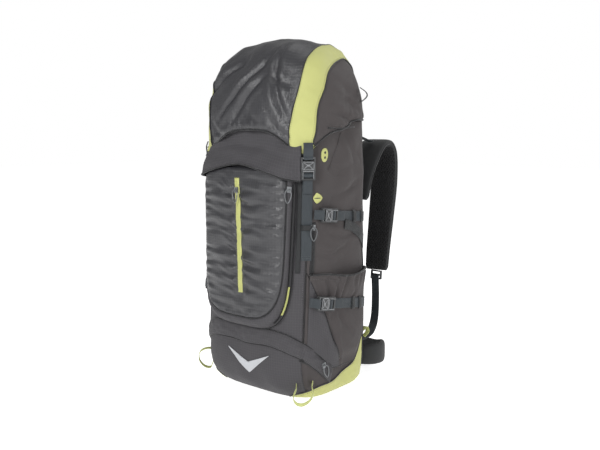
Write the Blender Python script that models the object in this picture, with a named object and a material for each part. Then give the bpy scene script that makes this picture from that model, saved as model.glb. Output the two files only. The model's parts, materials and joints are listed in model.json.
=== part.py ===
"""Hiking backpack: a trekking pack with a hinged lid, pockets, straps and buckles.

Metres, +Z up, +X to the right seen from the front, +Y towards the wearer's back.
The pack stands on its base at z = 0, and the centre of its outline on the floor is the origin.
"""
import math

import bmesh
import bpy
from mathutils import Matrix, Vector

# ---------------------------------------------------------------- driving dimensions (metres)
BAG_WIDTH = 0.304
BAG_FRONT = 0.113          # centre plane to the front face
BAG_BACK = 0.105           # centre plane to the back face
BAG_HEIGHT = 0.560         # floor to the rim of the main bag
FABRIC = 0.003             # wall of the main bag and lid
GAP = 0.0003               # clearance between pieces that touch

LID_HEIGHT = 0.160         # hinge to the crest of the lid
LID_OVERHANG = 0.008       # how much wider the lid is than the bag, each side
LID_SIDE_DROP = 0.020      # lid edge below the hinge at the sides
LID_TIP_DROP = 0.063       # lid edge below the hinge at the corner tips
LID_OPEN = 90.0            # degrees

COLLAR_RISE = 0.070
COLLAR_NARROWING = 0.1 * BAG_WIDTH - 0.0004
COLLAR_SEAM = 0.025        # how far the collar reaches down inside the rim
CORD = 0.003               # drawcord diameter

CORNER = BAG_WIDTH / 2 - 0.014         # girth of the front corner straps
POCKET_WIDTH = 2 * (CORNER - 0.020)    # leaves the corner straps free
POCKET_BOTTOM = 0.143
POCKET_TOP = BAG_HEIGHT - 0.102
POCKET_DEPTH = 0.028
POCKET_WALL = 0.002

FLAP_WIDTH = 0.028         # arched flap over the bottom zip
FLAP_REACH = CORNER + 0.047

# Girths are measured from the front centre. The back edge is a half width and a depth away.
SIDE_POCKET_FRONT = CORNER + 0.008
SIDE_POCKET_BACK = BAG_WIDTH / 2 + 0.170
SIDE_POCKET_BOTTOM = 0.050
SIDE_POCKET_TOP = 0.252
SIDE_POCKET_GAP = 0.014    # room inside the side pocket's mouth

WEBBING = 0.020
WEBBING_THICK = 0.0015
BUCKLE_RAIL = 0.003
BUCKLE_THICK = 0.008
BUCKLE_PULL = 0.028        # travel that frees a plug from its socket
HIP_WEBBING = 0.030

UPPER_BUCKLE = (CORNER + 0.048, BAG_HEIGHT - 0.186)
LOWER_BUCKLE = (CORNER + 0.040, 0.200)
STRAP_BACK = SIDE_POCKET_BACK - 0.004  # girth where the side straps are sewn at the back edge
UPPER_STRAP_DROP = 0.014
LOWER_STRAP_DROP = 0.022
LID_BUCKLE_HEIGHT = BAG_HEIGHT + 0.001 - LID_TIP_DROP - 0.034
LID_STRAP_BOTTOM = SIDE_POCKET_TOP + 0.038

BACK_PANEL_WIDTH = BAG_WIDTH - 0.074
BACK_PANEL_BOTTOM = 0.076
BACK_PANEL_TOP = BAG_HEIGHT - 0.060
BACK_PANEL_THICK = 0.018
STAY = (0.020, 0.003)      # width and thickness of an aluminium stay
STAY_SPACING = 0.100

SHOULDER_SPACING = BACK_PANEL_WIDTH - 0.050
SHOULDER_WIDTH = 0.070
SHOULDER_THICK = 0.014
HIP_WING_HEIGHT = 0.044
HIP_WING_THICK = 0.012
LUMBAR_WIDTH = BACK_PANEL_WIDTH - 0.054
LUMBAR_THICK = 0.036
HIP_HEIGHT = 0.040         # middle of the hip belt above the floor

SLIDER = (0.011, 0.009, 0.004)
PULLER_LENGTH = 0.026
PULLER_WIDTH = 0.013
PULLER_WIRE = 0.0022
ZIP_WIDTH = 0.012
ZIP_THICK = 0.0012

COLUMNS = 48               # facets round the bag

COLOURS = {
    "dark_fabric": ((0.10, 0.095, 0.10), 0.65, 0.0),
    "gloss_fabric": ((0.13, 0.13, 0.14), 0.35, 0.0),
    "side_fabric": ((0.115, 0.105, 0.105), 0.75, 0.0),
    "lime_fabric": ((0.58, 0.65, 0.19), 0.6, 0.0),
    "webbing": ((0.07, 0.085, 0.095), 0.6, 0.0),
    "mesh_pad": ((0.02, 0.02, 0.022), 0.85, 0.0),
    "plastic": ((0.05, 0.055, 0.06), 0.35, 0.0),
    "zip_metal": ((0.55, 0.57, 0.6), 0.3, 0.8),
    "stay_metal": ((0.7, 0.7, 0.72), 0.35, 1.0),
}

# ---------------------------------------------------------------- scene and small helpers
for old in list(bpy.data.objects):
    bpy.data.objects.remove(old, do_unlink=True)

pack_frame = bpy.data.objects.new("pack_frame", None)
bpy.context.collection.objects.link(pack_frame)


def material(slot):
    found = bpy.data.materials.get(slot)
    if found:
        return found
    colour, roughness, metallic = COLOURS[slot]
    made = bpy.data.materials.new(slot)
    made.use_nodes = True
    shader = made.node_tree.nodes["Principled BSDF"]
    shader.inputs["Base Color"].default_value = (*colour, 1.0)
    shader.inputs["Roughness"].default_value = roughness
    shader.inputs["Metallic"].default_value = metallic
    return made


def place(obj, world, parent=None):
    """Put an object at a world matrix, under a parent."""
    obj.parent = parent or pack_frame
    bpy.context.view_layer.update()
    obj.matrix_local = obj.parent.matrix_world.inverted() @ world


def add(name, verts, faces, slot, world=None, parent=None, smooth=40.0):
    """Make one closed mesh object and point its faces outwards."""
    mesh = bpy.data.meshes.new(name)
    mesh.from_pydata([tuple(v) for v in verts], [], faces)
    bm = bmesh.new()
    bm.from_mesh(mesh)
    bmesh.ops.recalc_face_normals(bm, faces=bm.faces)
    if bm.calc_volume(signed=True) < 0:
        bmesh.ops.reverse_faces(bm, faces=bm.faces)
    bm.to_mesh(mesh)
    bm.free()
    mesh.shade_smooth()
    mesh.set_sharp_from_angle(angle=math.radians(smooth))
    mesh.materials.append(material(slot))
    obj = bpy.data.objects.new(name, mesh)
    bpy.context.collection.objects.link(obj)
    place(obj, world or Matrix.Identity(4), parent)
    return obj


def axes(origin, along, normal):
    """World matrix: local X along, local Z along the normal, local Y across."""
    along = along.normalized()
    across = normal.cross(along).normalized()
    normal = along.cross(across)
    turn = Matrix((along, across, normal)).transposed()
    return Matrix.Translation(origin) @ turn.to_4x4()


def smooth_between(x, table):
    """Smooth curve through (x, value) pairs."""
    xs = [row[0] for row in table]
    ys = [row[1] for row in table]
    if x <= xs[0]:
        return ys[0]
    if x >= xs[-1]:
        return ys[-1]
    i = max(k for k in range(len(xs) - 1) if xs[k] <= x)

    def slope(k):
        low, high = max(k - 1, 0), min(k + 1, len(xs) - 1)
        return (ys[high] - ys[low]) / (xs[high] - xs[low])

    step = xs[i + 1] - xs[i]
    t = (x - xs[i]) / step
    start, end = slope(i) * step, slope(i + 1) * step
    return ((2 * t**3 - 3 * t**2 + 1) * ys[i] + (t**3 - 2 * t**2 + t) * start
            + (3 * t**2 - 2 * t**3) * ys[i + 1] + (t**3 - t**2) * end)


def smooth_path(points, count):
    """Evenly spread points on a smooth curve through the given ones."""
    distance = [0.0]
    for a, b in zip(points, points[1:]):
        distance.append(distance[-1] + (b - a).length)
    columns = [[(d, p[k]) for d, p in zip(distance, points)] for k in range(3)]
    spots = [distance[-1] * i / (count - 1) for i in range(count)]
    return [Vector([smooth_between(d, column) for column in columns]) for d in spots]


# ---------------------------------------------------------------- the fabric surfaces
class Skin:
    """A wrapped fabric surface: superelliptic sections, measured by girth from the front centre."""

    def __init__(self, stations, front_power, back_power):
        self.stations = stations
        self.powers = (front_power, back_power)
        self.known = {}

    def size(self, z):
        return [smooth_between(z, [(row[0], row[k]) for row in self.stations]) for k in (1, 2, 3)]

    def outline(self, z):
        """Half outline from the front centre round to the back centre, with its girth."""
        key = round(z, 5)
        if key not in self.known:
            half, front, back = self.size(z)
            points = []
            for i in range(181):
                angle = math.pi * (i / 180 - 0.5)
                c, s = abs(math.cos(angle)), math.sin(angle)
                power = self.powers[0] if s < 0 else self.powers[1]
                depth = front if s < 0 else back
                y = math.copysign(depth * abs(s) ** (2 / power), s)
                points.append((half * c ** (2 / power), y))
            points[0], points[-1] = (0.0, -front), (0.0, back)
            girth = [0.0]
            for (ax, ay), (bx, by) in zip(points, points[1:]):
                girth.append(girth[-1] + math.hypot(bx - ax, by - ay))
            self.known[key] = (points, girth)
        return self.known[key]

    def half_girth(self, z):
        return self.outline(z)[1][-1]

    def flat(self, s, z):
        points, girth = self.outline(z)
        s = min(abs(s), girth[-1])
        i = max(1, next(k for k, g in enumerate(girth) if g >= s - 1e-12))
        t = (s - girth[i - 1]) / (girth[i] - girth[i - 1])
        ax, ay = points[i - 1]
        bx, by = points[i]
        return ax + (bx - ax) * t, ay + (by - ay) * t

    def normal(self, s, z):
        reach = self.half_girth(z)
        side = 1.0 if s >= 0 else -1.0
        low, high = max(abs(s) - 0.002, 0.0), min(abs(s) + 0.002, reach)
        ax, ay = self.flat(low, z)
        bx, by = self.flat(high, z)
        if abs(s) < 0.002:
            return Vector((0, -1, 0))
        if abs(s) > reach - 0.002:
            return Vector((0, 1, 0))
        return Vector((side * (by - ay), ax - bx, 0)).normalized()

    def at(self, s, z, lift=0.0):
        x, y = self.flat(s, z)
        side = 1.0 if s >= 0 else -1.0
        return Vector((side * x, y, z)) + self.normal(s, z) * lift

    def ring(self, z, lift=0.0, edge=None):
        """Points right round at one height, or following edge(y) as the height."""
        points = []
        for i in range(COLUMNS):
            share = 2 * i / COLUMNS
            share = share if share <= 1 else share - 2
            height = z
            if edge:
                for _ in range(3):
                    x, y = self.flat(share * self.half_girth(height), height)
                    height = edge(share * self.half_girth(height), y)
            points.append(self.at(share * self.half_girth(height), height, lift))
        return points


half = BAG_WIDTH / 2
bag_skin = Skin([
    (0.0, half - 0.012, BAG_FRONT - 0.015, BAG_BACK),
    (0.03, half - 0.003, BAG_FRONT + 0.006, BAG_BACK),
    (0.08, half, BAG_FRONT + 0.015, BAG_BACK),
    (0.14, half, BAG_FRONT + 0.011, BAG_BACK),
    (0.25, half, BAG_FRONT + 0.004, BAG_BACK),
    (BAG_HEIGHT - 0.160, half - 0.001, BAG_FRONT, BAG_BACK),
    (BAG_HEIGHT, half - 0.005, BAG_FRONT - 0.003, BAG_BACK),
], 3.6, 6.0)

HINGE_Z = BAG_HEIGHT + 0.001
HINGE_Y = BAG_BACK + 0.001
crest = HINGE_Z + LID_HEIGHT
lid_half = half + LID_OVERHANG
lid_front = BAG_FRONT + 0.014
lid_back = BAG_BACK
lid_skin = Skin([
    (HINGE_Z - 0.07, lid_half - 0.004, lid_front - 0.003, lid_back),
    (HINGE_Z - 0.02, lid_half, lid_front, lid_back),
    (crest - 0.14, lid_half - 0.001, lid_front - 0.002, lid_back - 0.002),
    (crest - 0.10, lid_half - 0.008, lid_front - 0.009, lid_back - 0.006),
    (crest - 0.06, lid_half - 0.021, lid_front - 0.025, lid_back - 0.014),
    (crest - 0.03, lid_half - 0.040, lid_front - 0.045, lid_back - 0.026),
    (crest - 0.01, lid_half - 0.065, lid_front - 0.072, lid_back - 0.049),
    (crest, lid_half - 0.100, lid_front - 0.097, lid_back - 0.074),
], 2.8, 4.0)


def shell(name, outer, inner, slot, **keys):
    """Closed wall between two stacks of rings that are open at the same end (the last ring)."""
    rings = outer + inner[::-1]
    verts = [v for ring in rings for v in ring]
    faces = []
    count = len(outer[0])
    for r in range(len(rings) - 1):
        for i in range(count):
            j = (i + 1) % count
            faces.append((r * count + i, r * count + j, (r + 1) * count + j, (r + 1) * count + i))
    for start, ring in ((0, outer[0]), ((len(rings) - 1) * count, inner[0])):
        middle = sum(ring, Vector()) / count
        verts.append(middle)
        hub = len(verts) - 1
        faces += [(start + i, start + (i + 1) % count, hub) for i in range(count)]
    return add(name, verts, faces, slot, **keys)


def tube_wall(name, outer, inner, slot):
    """Closed wall between two stacks of rings, open at both ends."""
    rings = outer + inner[::-1]
    count = len(outer[0])
    verts = [v for ring in rings for v in ring]
    faces = []
    for r in range(len(rings)):
        for i in range(count):
            j, q = (i + 1) % count, (r + 1) % len(rings)
            faces.append((r * count + i, r * count + j, q * count + j, q * count + i))
    return add(name, verts, faces, slot)


def patch(name, point, columns, rows, slot, **keys):
    """Closed thin piece: point(u, v, side) with u, v in 0..1, side 0 below and 1 on top."""
    verts = [point(i / columns, j / rows, side)
             for side in (0, 1) for j in range(rows + 1) for i in range(columns + 1)]
    wide, layer = columns + 1, (columns + 1) * (rows + 1)
    faces = []
    for j in range(rows):
        for i in range(columns):
            a = j * wide + i
            faces.append((a, a + wide, a + wide + 1, a + 1))
            faces.append((layer + a, layer + a + 1, layer + a + wide + 1, layer + a + wide))
    border = ([i for i in range(columns)] + [columns + j * wide for j in range(rows)]
              + [rows * wide + i for i in range(columns, 0, -1)] + [j * wide for j in range(rows, 0, -1)])
    for a, b in zip(border, border[1:] + border[:1]):
        faces.append((a, b, layer + b, layer + a))
    return add(name, verts, faces, slot, **keys)


def ribbon(name, points, across, width, thick, slot, count=16, round_edge=0.0, **keys):
    """Flat strap or pad along a smooth path. width(t) may vary; across is its width direction."""
    path = smooth_path(points, count)
    corner = round_edge
    verts = []
    for i, middle in enumerate(path):
        tangent = (path[min(i + 1, count - 1)] - path[max(i - 1, 0)]).normalized()
        wide = (across - tangent * across.dot(tangent)).normalized()
        normal = tangent.cross(wide)
        t = i / (count - 1)
        a = (width(t) if callable(width) else width) / 2
        b = (thick(t) if callable(thick) else thick) / 2
        c = corner * b
        outline = [(a, b), (-a, b), (-a, -b), (a, -b)]
        if corner:
            outline = [(a - c, b), (-a + c, b), (-a, b - c), (-a, -b + c),
                       (-a + c, -b), (a - c, -b), (a, -b + c), (a, b - c)]
        verts += [middle + wide * x + normal * y for x, y in outline]
    n = len(verts) // count
    faces = [(r * n + i, r * n + (i + 1) % n, (r + 1) * n + (i + 1) % n, (r + 1) * n + i)
             for r in range(count - 1) for i in range(n)]
    faces += [tuple(range(n)), tuple(range((count - 1) * n, count * n))]
    return add(name, verts, faces, slot, **keys)


def blocks(name, xs, ys, zs, filled, slot, **keys):
    """Closed body from the filled cells of a grid: filled(x, y, z) is asked at each cell's middle."""
    shape = (len(xs) - 1, len(ys) - 1, len(zs) - 1)

    def is_filled(i, j, k):
        if not (0 <= i < shape[0] and 0 <= j < shape[1] and 0 <= k < shape[2]):
            return False
        return filled((xs[i] + xs[i + 1]) / 2, (ys[j] + ys[j + 1]) / 2, (zs[k] + zs[k + 1]) / 2)

    index, verts, faces = {}, [], []

    def corner(i, j, k):
        if (i, j, k) not in index:
            index[(i, j, k)] = len(verts)
            verts.append(Vector((xs[i], ys[j], zs[k])))
        return index[(i, j, k)]

    sides = [((1, 0, 0), [(1, 0, 0), (1, 1, 0), (1, 1, 1), (1, 0, 1)]),
             ((-1, 0, 0), [(0, 0, 0), (0, 0, 1), (0, 1, 1), (0, 1, 0)]),
             ((0, 1, 0), [(0, 1, 0), (0, 1, 1), (1, 1, 1), (1, 1, 0)]),
             ((0, -1, 0), [(0, 0, 0), (1, 0, 0), (1, 0, 1), (0, 0, 1)]),
             ((0, 0, 1), [(0, 0, 1), (1, 0, 1), (1, 1, 1), (0, 1, 1)]),
             ((0, 0, -1), [(0, 0, 0), (0, 1, 0), (1, 1, 0), (1, 0, 0)])]
    for i in range(shape[0]):
        for j in range(shape[1]):
            for k in range(shape[2]):
                if not is_filled(i, j, k):
                    continue
                for (di, dj, dk), quad in sides:
                    if not is_filled(i + di, j + dj, k + dk):
                        faces.append(tuple(corner(i + a, j + b, k + c) for a, b, c in quad))
    return add(name, verts, faces, slot, smooth=20.0, **keys)


# ---------------------------------------------------------------- hardware
def buckle_sizes(webbing):
    """Shared measures of a side-release buckle for one webbing width."""
    slot = webbing / 2 + 0.0010
    return {"slot": slot, "edge": slot + BUCKLE_RAIL, "long": 0.4 * webbing + 0.006,
            "plate": 0.0014, "half": BUCKLE_THICK / 2}


def buckle_socket(name, webbing, world, parent=None):
    """Socket with its mouth at local x = 0, open sideways for the prongs, and a webbing slot."""
    m = buckle_sizes(webbing)
    deep, wall, slot_end = m["long"], m["long"] + 0.003, m["long"] + 0.0075
    end = slot_end + 0.003
    xs = [-end, -slot_end, -wall, -deep, 0.0]
    ys = [-m["edge"], -m["slot"], m["slot"], m["edge"]]
    zs = [-m["half"], -m["half"] + m["plate"], m["half"] - m["plate"], m["half"]]

    def filled(x, y, z):
        if x > -deep:
            return abs(z) > m["half"] - m["plate"]
        if x > -wall or x < -slot_end:
            return True
        return abs(y) > m["slot"]

    return blocks(name, xs, ys, zs, filled, "plastic", world=world, parent=parent)


def buckle_plug(name, webbing, world, parent=None):
    """Plug whose two prongs and centre guide reach into the socket at x < 0."""
    m = buckle_sizes(webbing)
    start = GAP
    bar, slot_a, bar_b, slot_b = 0.004, 0.0085, 0.0115, 0.016
    end = slot_b + 0.0035
    tip, bulge = -m["long"] + 0.0015, -m["long"] + 0.0085
    prong_in, prong_out = m["slot"] - 0.005, m["slot"] - 0.0015
    guide = 0.0015
    high = m["half"] - m["plate"] - GAP
    xs = [tip, bulge, start, bar, slot_a, bar_b, slot_b, end]
    ys = [-m["edge"], -m["slot"], -prong_out, -prong_in, -guide, guide,
          prong_in, prong_out, m["slot"], m["edge"]]
    zs = [-m["half"], -high, high, m["half"]]

    def filled(x, y, z):
        y = abs(y)
        if x < start:
            if abs(z) > high:
                return False
            prong = prong_in < y < prong_out or (x < bulge and prong_in < y < m["slot"])
            return prong or y < guide
        if bar < x < slot_a or bar_b < x < slot_b:
            return y > m["slot"] and abs(z) < high
        return True if x < bar else abs(z) < high

    return blocks(name, xs, ys, zs, filled, "plastic", world=world, parent=parent)


def ladder_lock(name, webbing, world):
    m = buckle_sizes(webbing)
    xs = [0.0, 0.003, 0.008, 0.012, 0.017, 0.020]
    ys = [-m["edge"], -m["slot"], m["slot"], m["edge"]]
    zs = [-0.0025, 0.0025]

    def filled(x, y, z):
        return not (abs(y) < m["slot"] and (0.003 < x < 0.008 or 0.012 < x < 0.017))

    return blocks(name, xs, ys, zs, filled, "plastic", world=world)


def zip_slider(name, world):
    """Slider body with a low bridge; local X runs down the zip."""
    length, width, height = SLIDER
    xs = [-length / 2, -length / 4, length / 4, length / 2]
    ys = [-width / 2, -width / 6, width / 6, width / 2]
    zs = [0.0, height * 0.6, height]

    def filled(x, y, z):
        return z < height * 0.6 or (abs(y) < width / 6 and abs(x) < length / 4)

    return blocks(name, xs, ys, zs, filled, "zip_metal", world=world)


def zip_puller(name, world, parent):
    """Oval ring that hangs from the slider's bridge along local X, hinged on local Y at its origin."""
    around, section = 20, 6
    verts, faces = [], []
    for i in range(around):
        angle = 2 * math.pi * i / around
        reach = PULLER_LENGTH / 2 * (1 + math.cos(angle)) + PULLER_WIRE
        side = PULLER_WIDTH / 2 * math.sin(angle) * (1.15 - 0.35 * math.cos(angle)) / 1.2
        outward = Vector((math.cos(angle), math.sin(angle), 0))
        for k in range(section):
            turn = 2 * math.pi * k / section
            verts.append(Vector((reach, side, 0))
                         + (outward * math.cos(turn) + Vector((0, 0, 1)) * math.sin(turn)) * PULLER_WIRE / 2)
    for i in range(around):
        for k in range(section):
            j, q = (i + 1) % around, (k + 1) % section
            faces.append((i * section + k, j * section + k, j * section + q, i * section + q))
    return add(name, verts, faces, "zip_metal", world=world, parent=parent, smooth=80.0)


# ---------------------------------------------------------------- main bag, collar and lid
BAG_LEVELS = [0.0, 0.012, 0.03, 0.08, 0.14, 0.25, BAG_HEIGHT - 0.160, BAG_HEIGHT]


def make_main_bag():
    outer = [bag_skin.ring(z) for z in BAG_LEVELS]
    inner = [bag_skin.ring(max(z, FABRIC), -FABRIC) for z in BAG_LEVELS]
    shell("main_bag", outer, inner, "dark_fabric")


def collar_rings(lift):
    rings = []
    for step in (0, 0.26, 0.5, 0.75, 1.0):
        z = BAG_HEIGHT - COLLAR_SEAM + (COLLAR_RISE + COLLAR_SEAM) * step
        narrow = COLLAR_NARROWING * step ** 1.5
        rings.append(bag_skin.ring(min(z, BAG_HEIGHT), lift - FABRIC - GAP - narrow))
        for point in rings[-1]:
            point.z = z
    return rings


def make_collar():
    tube_wall("snow_collar", collar_rings(0.0), collar_rings(-0.0015), "side_fabric")
    cord_lift = GAP + CORD / 2 + 0.0012
    below, top = collar_rings(cord_lift)[-2:]
    cord_z = BAG_HEIGHT + COLLAR_RISE - 0.008
    barrel_radius = 0.007
    front = min(top, key=lambda p: (p.y, abs(p.x)))
    barrel = Vector((0, front.y - barrel_radius - COLLAR_NARROWING / 5, cord_z - 0.010))
    route = []
    share = (cord_z - below[0].z) / (top[0].z - below[0].z)
    for i in range(1, COLUMNS):
        point = below[i].lerp(top[i], share)
        if abs(point.x) > 0.015 or point.y > 0:
            route.append(point)
    clear = barrel_radius + GAP
    for end, side in ((0, 1), (-1, -1)):
        tip = Vector((side * (clear + 0.0010), barrel.y, cord_z))
        route.insert(0 if end == 0 else len(route), tip)
    path = smooth_path(route, 72)
    curve = bpy.data.curves.new("collar_drawcord", "CURVE")
    curve.dimensions = "3D"
    curve.bevel_depth = CORD / 2
    curve.bevel_resolution = 2
    curve.render_resolution_u = 0
    curve.use_fill_caps = True
    spline = curve.splines.new("POLY")
    spline.points.add(len(path) - 1)
    for spot, point in zip(spline.points, path):
        spot.co = (*point, 1.0)
    curve.materials.append(material("webbing"))
    cord = bpy.data.objects.new("collar_drawcord", curve)
    bpy.context.collection.objects.link(cord)
    place(cord, Matrix.Identity(4))
    cylinder("cord_lock_barrel", barrel_radius, 0.016, barrel, bore=0.0045)
    cylinder("cord_lock_button", 0.0040, 0.013, barrel + Vector((0, 0, 0.006)))


def cylinder(name, radius, height, base, bore=0.0, sides=20):
    """Upright round piece, with a blind bore from the top if bore is set."""
    def ring(r, z):
        return [Vector((r * math.cos(2 * math.pi * i / sides), r * math.sin(2 * math.pi * i / sides), z))
                for i in range(sides)]

    outer = [ring(radius, 0.0), ring(radius, height)]
    floor = 0.002 if bore else height
    inner = [ring(bore or radius * 0.7, floor), ring(bore or radius * 0.7, height)]
    if bore:
        shell(name, outer, inner, "plastic", world=Matrix.Translation(base))
        return
    rings = outer + [ring(radius * 0.7, height + radius * 0.2)]
    verts = [v for r in rings for v in r]
    faces = [(r * sides + i, r * sides + (i + 1) % sides, (r + 1) * sides + (i + 1) % sides, (r + 1) * sides + i)
             for r in range(2) for i in range(sides)]
    faces += [tuple(range(sides)), tuple(range(2 * sides, 3 * sides))]
    add(name, verts, faces, "plastic", world=Matrix.Translation(base))


def lid_edge(s, y):
    """Height of the lid's lower edge: an arch in front, tips at the front corners, level behind."""
    tip = math.exp(-((abs(s) - CORNER + 0.006) / 0.045) ** 2)
    drop = LID_SIDE_DROP + (LID_TIP_DROP - LID_SIDE_DROP) * tip
    fade = min(max((y + 0.02) / 0.06, 0.0), 1.0)
    fade = fade * fade * (3 - 2 * fade)
    return HINGE_Z - drop * (1 - fade)


def make_lid():
    stack = []
    for lift in (0.0, -FABRIC):
        rings = [lid_skin.ring(0, lift, lid_edge)]
        heights = (0.03, 0.06, 0.09, 0.12, 0.142, 0.155, LID_HEIGHT)
        for rise in heights:
            level = HINGE_Z + rise * LID_HEIGHT / heights[-1]
            ring = lid_skin.ring(level, lift)
            for point in ring:
                point.z = level + (lift if rise > 0.13 else 0.0)
            rings.append(ring)
        stack.append(rings[::-1])
    hinge = Vector((0, HINGE_Y, HINGE_Z))
    turn = Matrix.Translation(-hinge)
    moved = [[[turn @ p for p in ring] for ring in rings] for rings in stack]
    return shell("lid", moved[0], moved[1], "dark_fabric", world=Matrix.Translation(hinge))


# ---------------------------------------------------------------- pockets and flaps
def pocket_outline(angle, inset):
    """Girth and height on the front pocket's outline, drawn in by inset."""
    c, s = math.cos(angle), math.sin(angle)
    power = 2 / (4.2 if s < 0 else 9.0)
    middle = (POCKET_TOP + POCKET_BOTTOM) / 2
    tall = (POCKET_TOP - POCKET_BOTTOM) / 2 - inset
    wide = POCKET_WIDTH / 2 - inset
    height = math.copysign(abs(s) ** power, s)
    narrowing = 0.010 * (1 - height) / 2
    return math.copysign(abs(c) ** power, c) * (wide - narrowing), middle + tall * height


def pocket_ring(inset, lift):
    """Evenly spaced points round the pocket, at one inset and one lift off the bag."""
    fine = [Vector(pocket_outline(2 * math.pi * i / 720, inset)) for i in range(721)]
    distance = [0.0]
    for a, b in zip(fine, fine[1:]):
        distance.append(distance[-1] + (b - a).length)
    ring, k = [], 0
    for i in range(COLUMNS):
        spot = distance[-1] * i / COLUMNS
        while distance[k + 1] < spot:
            k += 1
        share = (spot - distance[k]) / (distance[k + 1] - distance[k])
        s, z = fine[k].lerp(fine[k + 1], share)
        ring.append(bag_skin.at(s, z, lift))
    return ring


def make_front_pocket():
    profile = [(0.075, 1.0), (0.040, 1.0), (0.018, 0.93), (0.008, 0.72), (0.002, 0.35), (0.0, 0.0)]
    outer = [pocket_ring(inset, GAP + 0.0007 + POCKET_DEPTH * rise) for inset, rise in profile]
    deeper = POCKET_DEPTH - POCKET_WALL
    inner = [pocket_ring(inset + POCKET_WALL, GAP + 0.0007 + deeper * rise) for inset, rise in profile]
    shell("front_pocket", outer, inner, "gloss_fabric")


ZIP_TOP = (-0.004, POCKET_TOP - 0.012)
ZIP_BOTTOM = (0.008, 0.216)
POCKET_FACE = GAP + 0.0007 + POCKET_DEPTH


def strip(name, start, end, width, lift, thick, slot, rows=14):
    """Flat strip laid on the bag's skin between two (girth, height) places."""
    run = Vector((end[0] - start[0], end[1] - start[1]))
    across = Vector((run.y, -run.x)).normalized() * width / 2

    def point(u, v, side):
        s = start[0] + run.x * v + across.x * (2 * u - 1)
        z = start[1] + run.y * v + across.y * (2 * u - 1)
        base = lift(s, z) if callable(lift) else lift
        return bag_skin.at(s, z, base + thick * side)

    return patch(name, point, 4, rows, slot)


def straight_run(start, end, lift):
    """A straight line just outside the skin between two places: its start, direction and length."""
    a, b = bag_skin.at(*start, lift), bag_skin.at(*end, lift)
    normal = bag_skin.normal((start[0] + end[0]) / 2, (start[1] + end[1]) / 2)
    run = (b - a).normalized()
    rise = 0.0
    for i in range(21):
        s = start[0] + (end[0] - start[0]) * i / 20
        z = start[1] + (end[1] - start[1]) * i / 20
        point = bag_skin.at(s, z, lift)
        rise = max(rise, (point - a - (b - a) * i / 20).dot(normal))
    return a + normal * rise, run, normal, (b - a).length


def make_zip(prefix, start, end, lift):
    """Slider at the start of a zip and a puller that hangs from it. Returns the run's length."""
    origin, run, normal, length = straight_run(start, end, lift)
    slider = zip_slider(prefix + "_slider", axes(origin, run, normal))
    rise = SLIDER[2] + PULLER_WIRE / 2 + 0.0006
    hinge = axes(origin + normal * rise - run * SLIDER[0] / 4, run, normal)
    zip_puller(prefix + "_puller", hinge, slider)
    return length


def make_zips():
    strip("front_zip", ZIP_TOP, ZIP_BOTTOM, ZIP_WIDTH, POCKET_FACE + 0.0008, ZIP_THICK, "lime_fabric")
    down = 0.024 / (ZIP_TOP[1] - ZIP_BOTTOM[1])
    top = (ZIP_TOP[0] + (ZIP_BOTTOM[0] - ZIP_TOP[0]) * down, ZIP_TOP[1] - 0.024)
    low = (ZIP_BOTTOM[0], ZIP_BOTTOM[1] + 0.012)
    make_zip("front_zip", top, low, POCKET_FACE + 0.0008 + ZIP_THICK + GAP)
    side = POCKET_WIDTH / 2
    make_zip("pocket_side", (side - 0.006, POCKET_TOP - 0.030), (side - 0.014, 0.235), POCKET_DEPTH + 0.0022)
    access = CORNER + 0.012
    make_zip("access_zip", (access, UPPER_BUCKLE[1] - 0.022), (access, SIDE_POCKET_TOP + 0.010), 0.0030)
    make_zip("bottom_zip", (FLAP_REACH - 0.001, 0.072), (FLAP_REACH + 0.001, 0.060), 0.0034)


def flap_height(s):
    """Height of the middle of the arched flap over the bottom zip."""
    return 0.125 - 3.0 * max(0.0, abs(s) - 0.05) ** 2


def make_bottom_flap():
    def point(u, v, side):
        s = FLAP_REACH * (2 * u - 1)
        return bag_skin.at(s, flap_height(s) + FLAP_WIDTH * (v - 0.5), GAP + 0.0003 + 0.0016 * side)

    patch("bottom_flap", point, 36, 2, "dark_fabric")


def side_pocket_lift(s, z):
    """How far the side pocket's inner face stands off the bag: most at the mouth, cinched at the strap."""
    across = (abs(s) - SIDE_POCKET_FRONT - 0.05) / (SIDE_POCKET_BACK - SIDE_POCKET_FRONT - 0.05)
    if across <= 0 or across >= 1:
        return GAP
    strap_z = LOWER_BUCKLE[1] - 0.012
    mouth = max(0.0, (z - strap_z) / (SIDE_POCKET_TOP - strap_z))
    base = math.sin(math.pi * min(max((strap_z - z) / (strap_z - SIDE_POCKET_BOTTOM), 0.0), 1.0))
    share = 0.22 + 0.78 * mouth + 0.55 * base
    return GAP + SIDE_POCKET_GAP * share * math.sin(math.pi * across) ** 0.8


def make_side_pockets():
    for name, sign in (("right", 1), ("left", -1)):
        def point(u, v, side):
            s = SIDE_POCKET_FRONT + (SIDE_POCKET_BACK - SIDE_POCKET_FRONT) * u
            low = max(SIDE_POCKET_BOTTOM, flap_height(s) + FLAP_WIDTH / 2 + GAP)
            z = low + (SIDE_POCKET_TOP - low) * v
            lift = side_pocket_lift(s, z) + POCKET_WALL * side
            return bag_skin.at(sign * s, z, lift + 0.0004)

        patch("side_pocket_" + name, point, 16, 12, "side_fabric")


# ---------------------------------------------------------------- buckles and straps on the bag
def skin_axes(s, z, lift, slope=0.0):
    """Local X towards the pack's back along the skin, tipped down by slope, local Z outwards."""
    normal = bag_skin.normal(s, z)
    side = 1.0 if s >= 0 else -1.0
    level = Vector((0, 0, 1)).cross(normal) * side
    along = level * math.cos(slope) - Vector((0, 0, 1)) * math.sin(slope)
    return axes(bag_skin.at(s, z, lift), along, normal)


def strap_line(buckle, drop):
    """Girth, height places of a side strap from under its plug to the back edge."""
    s, z = buckle
    slope = drop / (STRAP_BACK - s)
    start = s + 0.006
    return (start, z - slope * (start - s)), (STRAP_BACK, z - drop), math.atan(slope)


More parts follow.
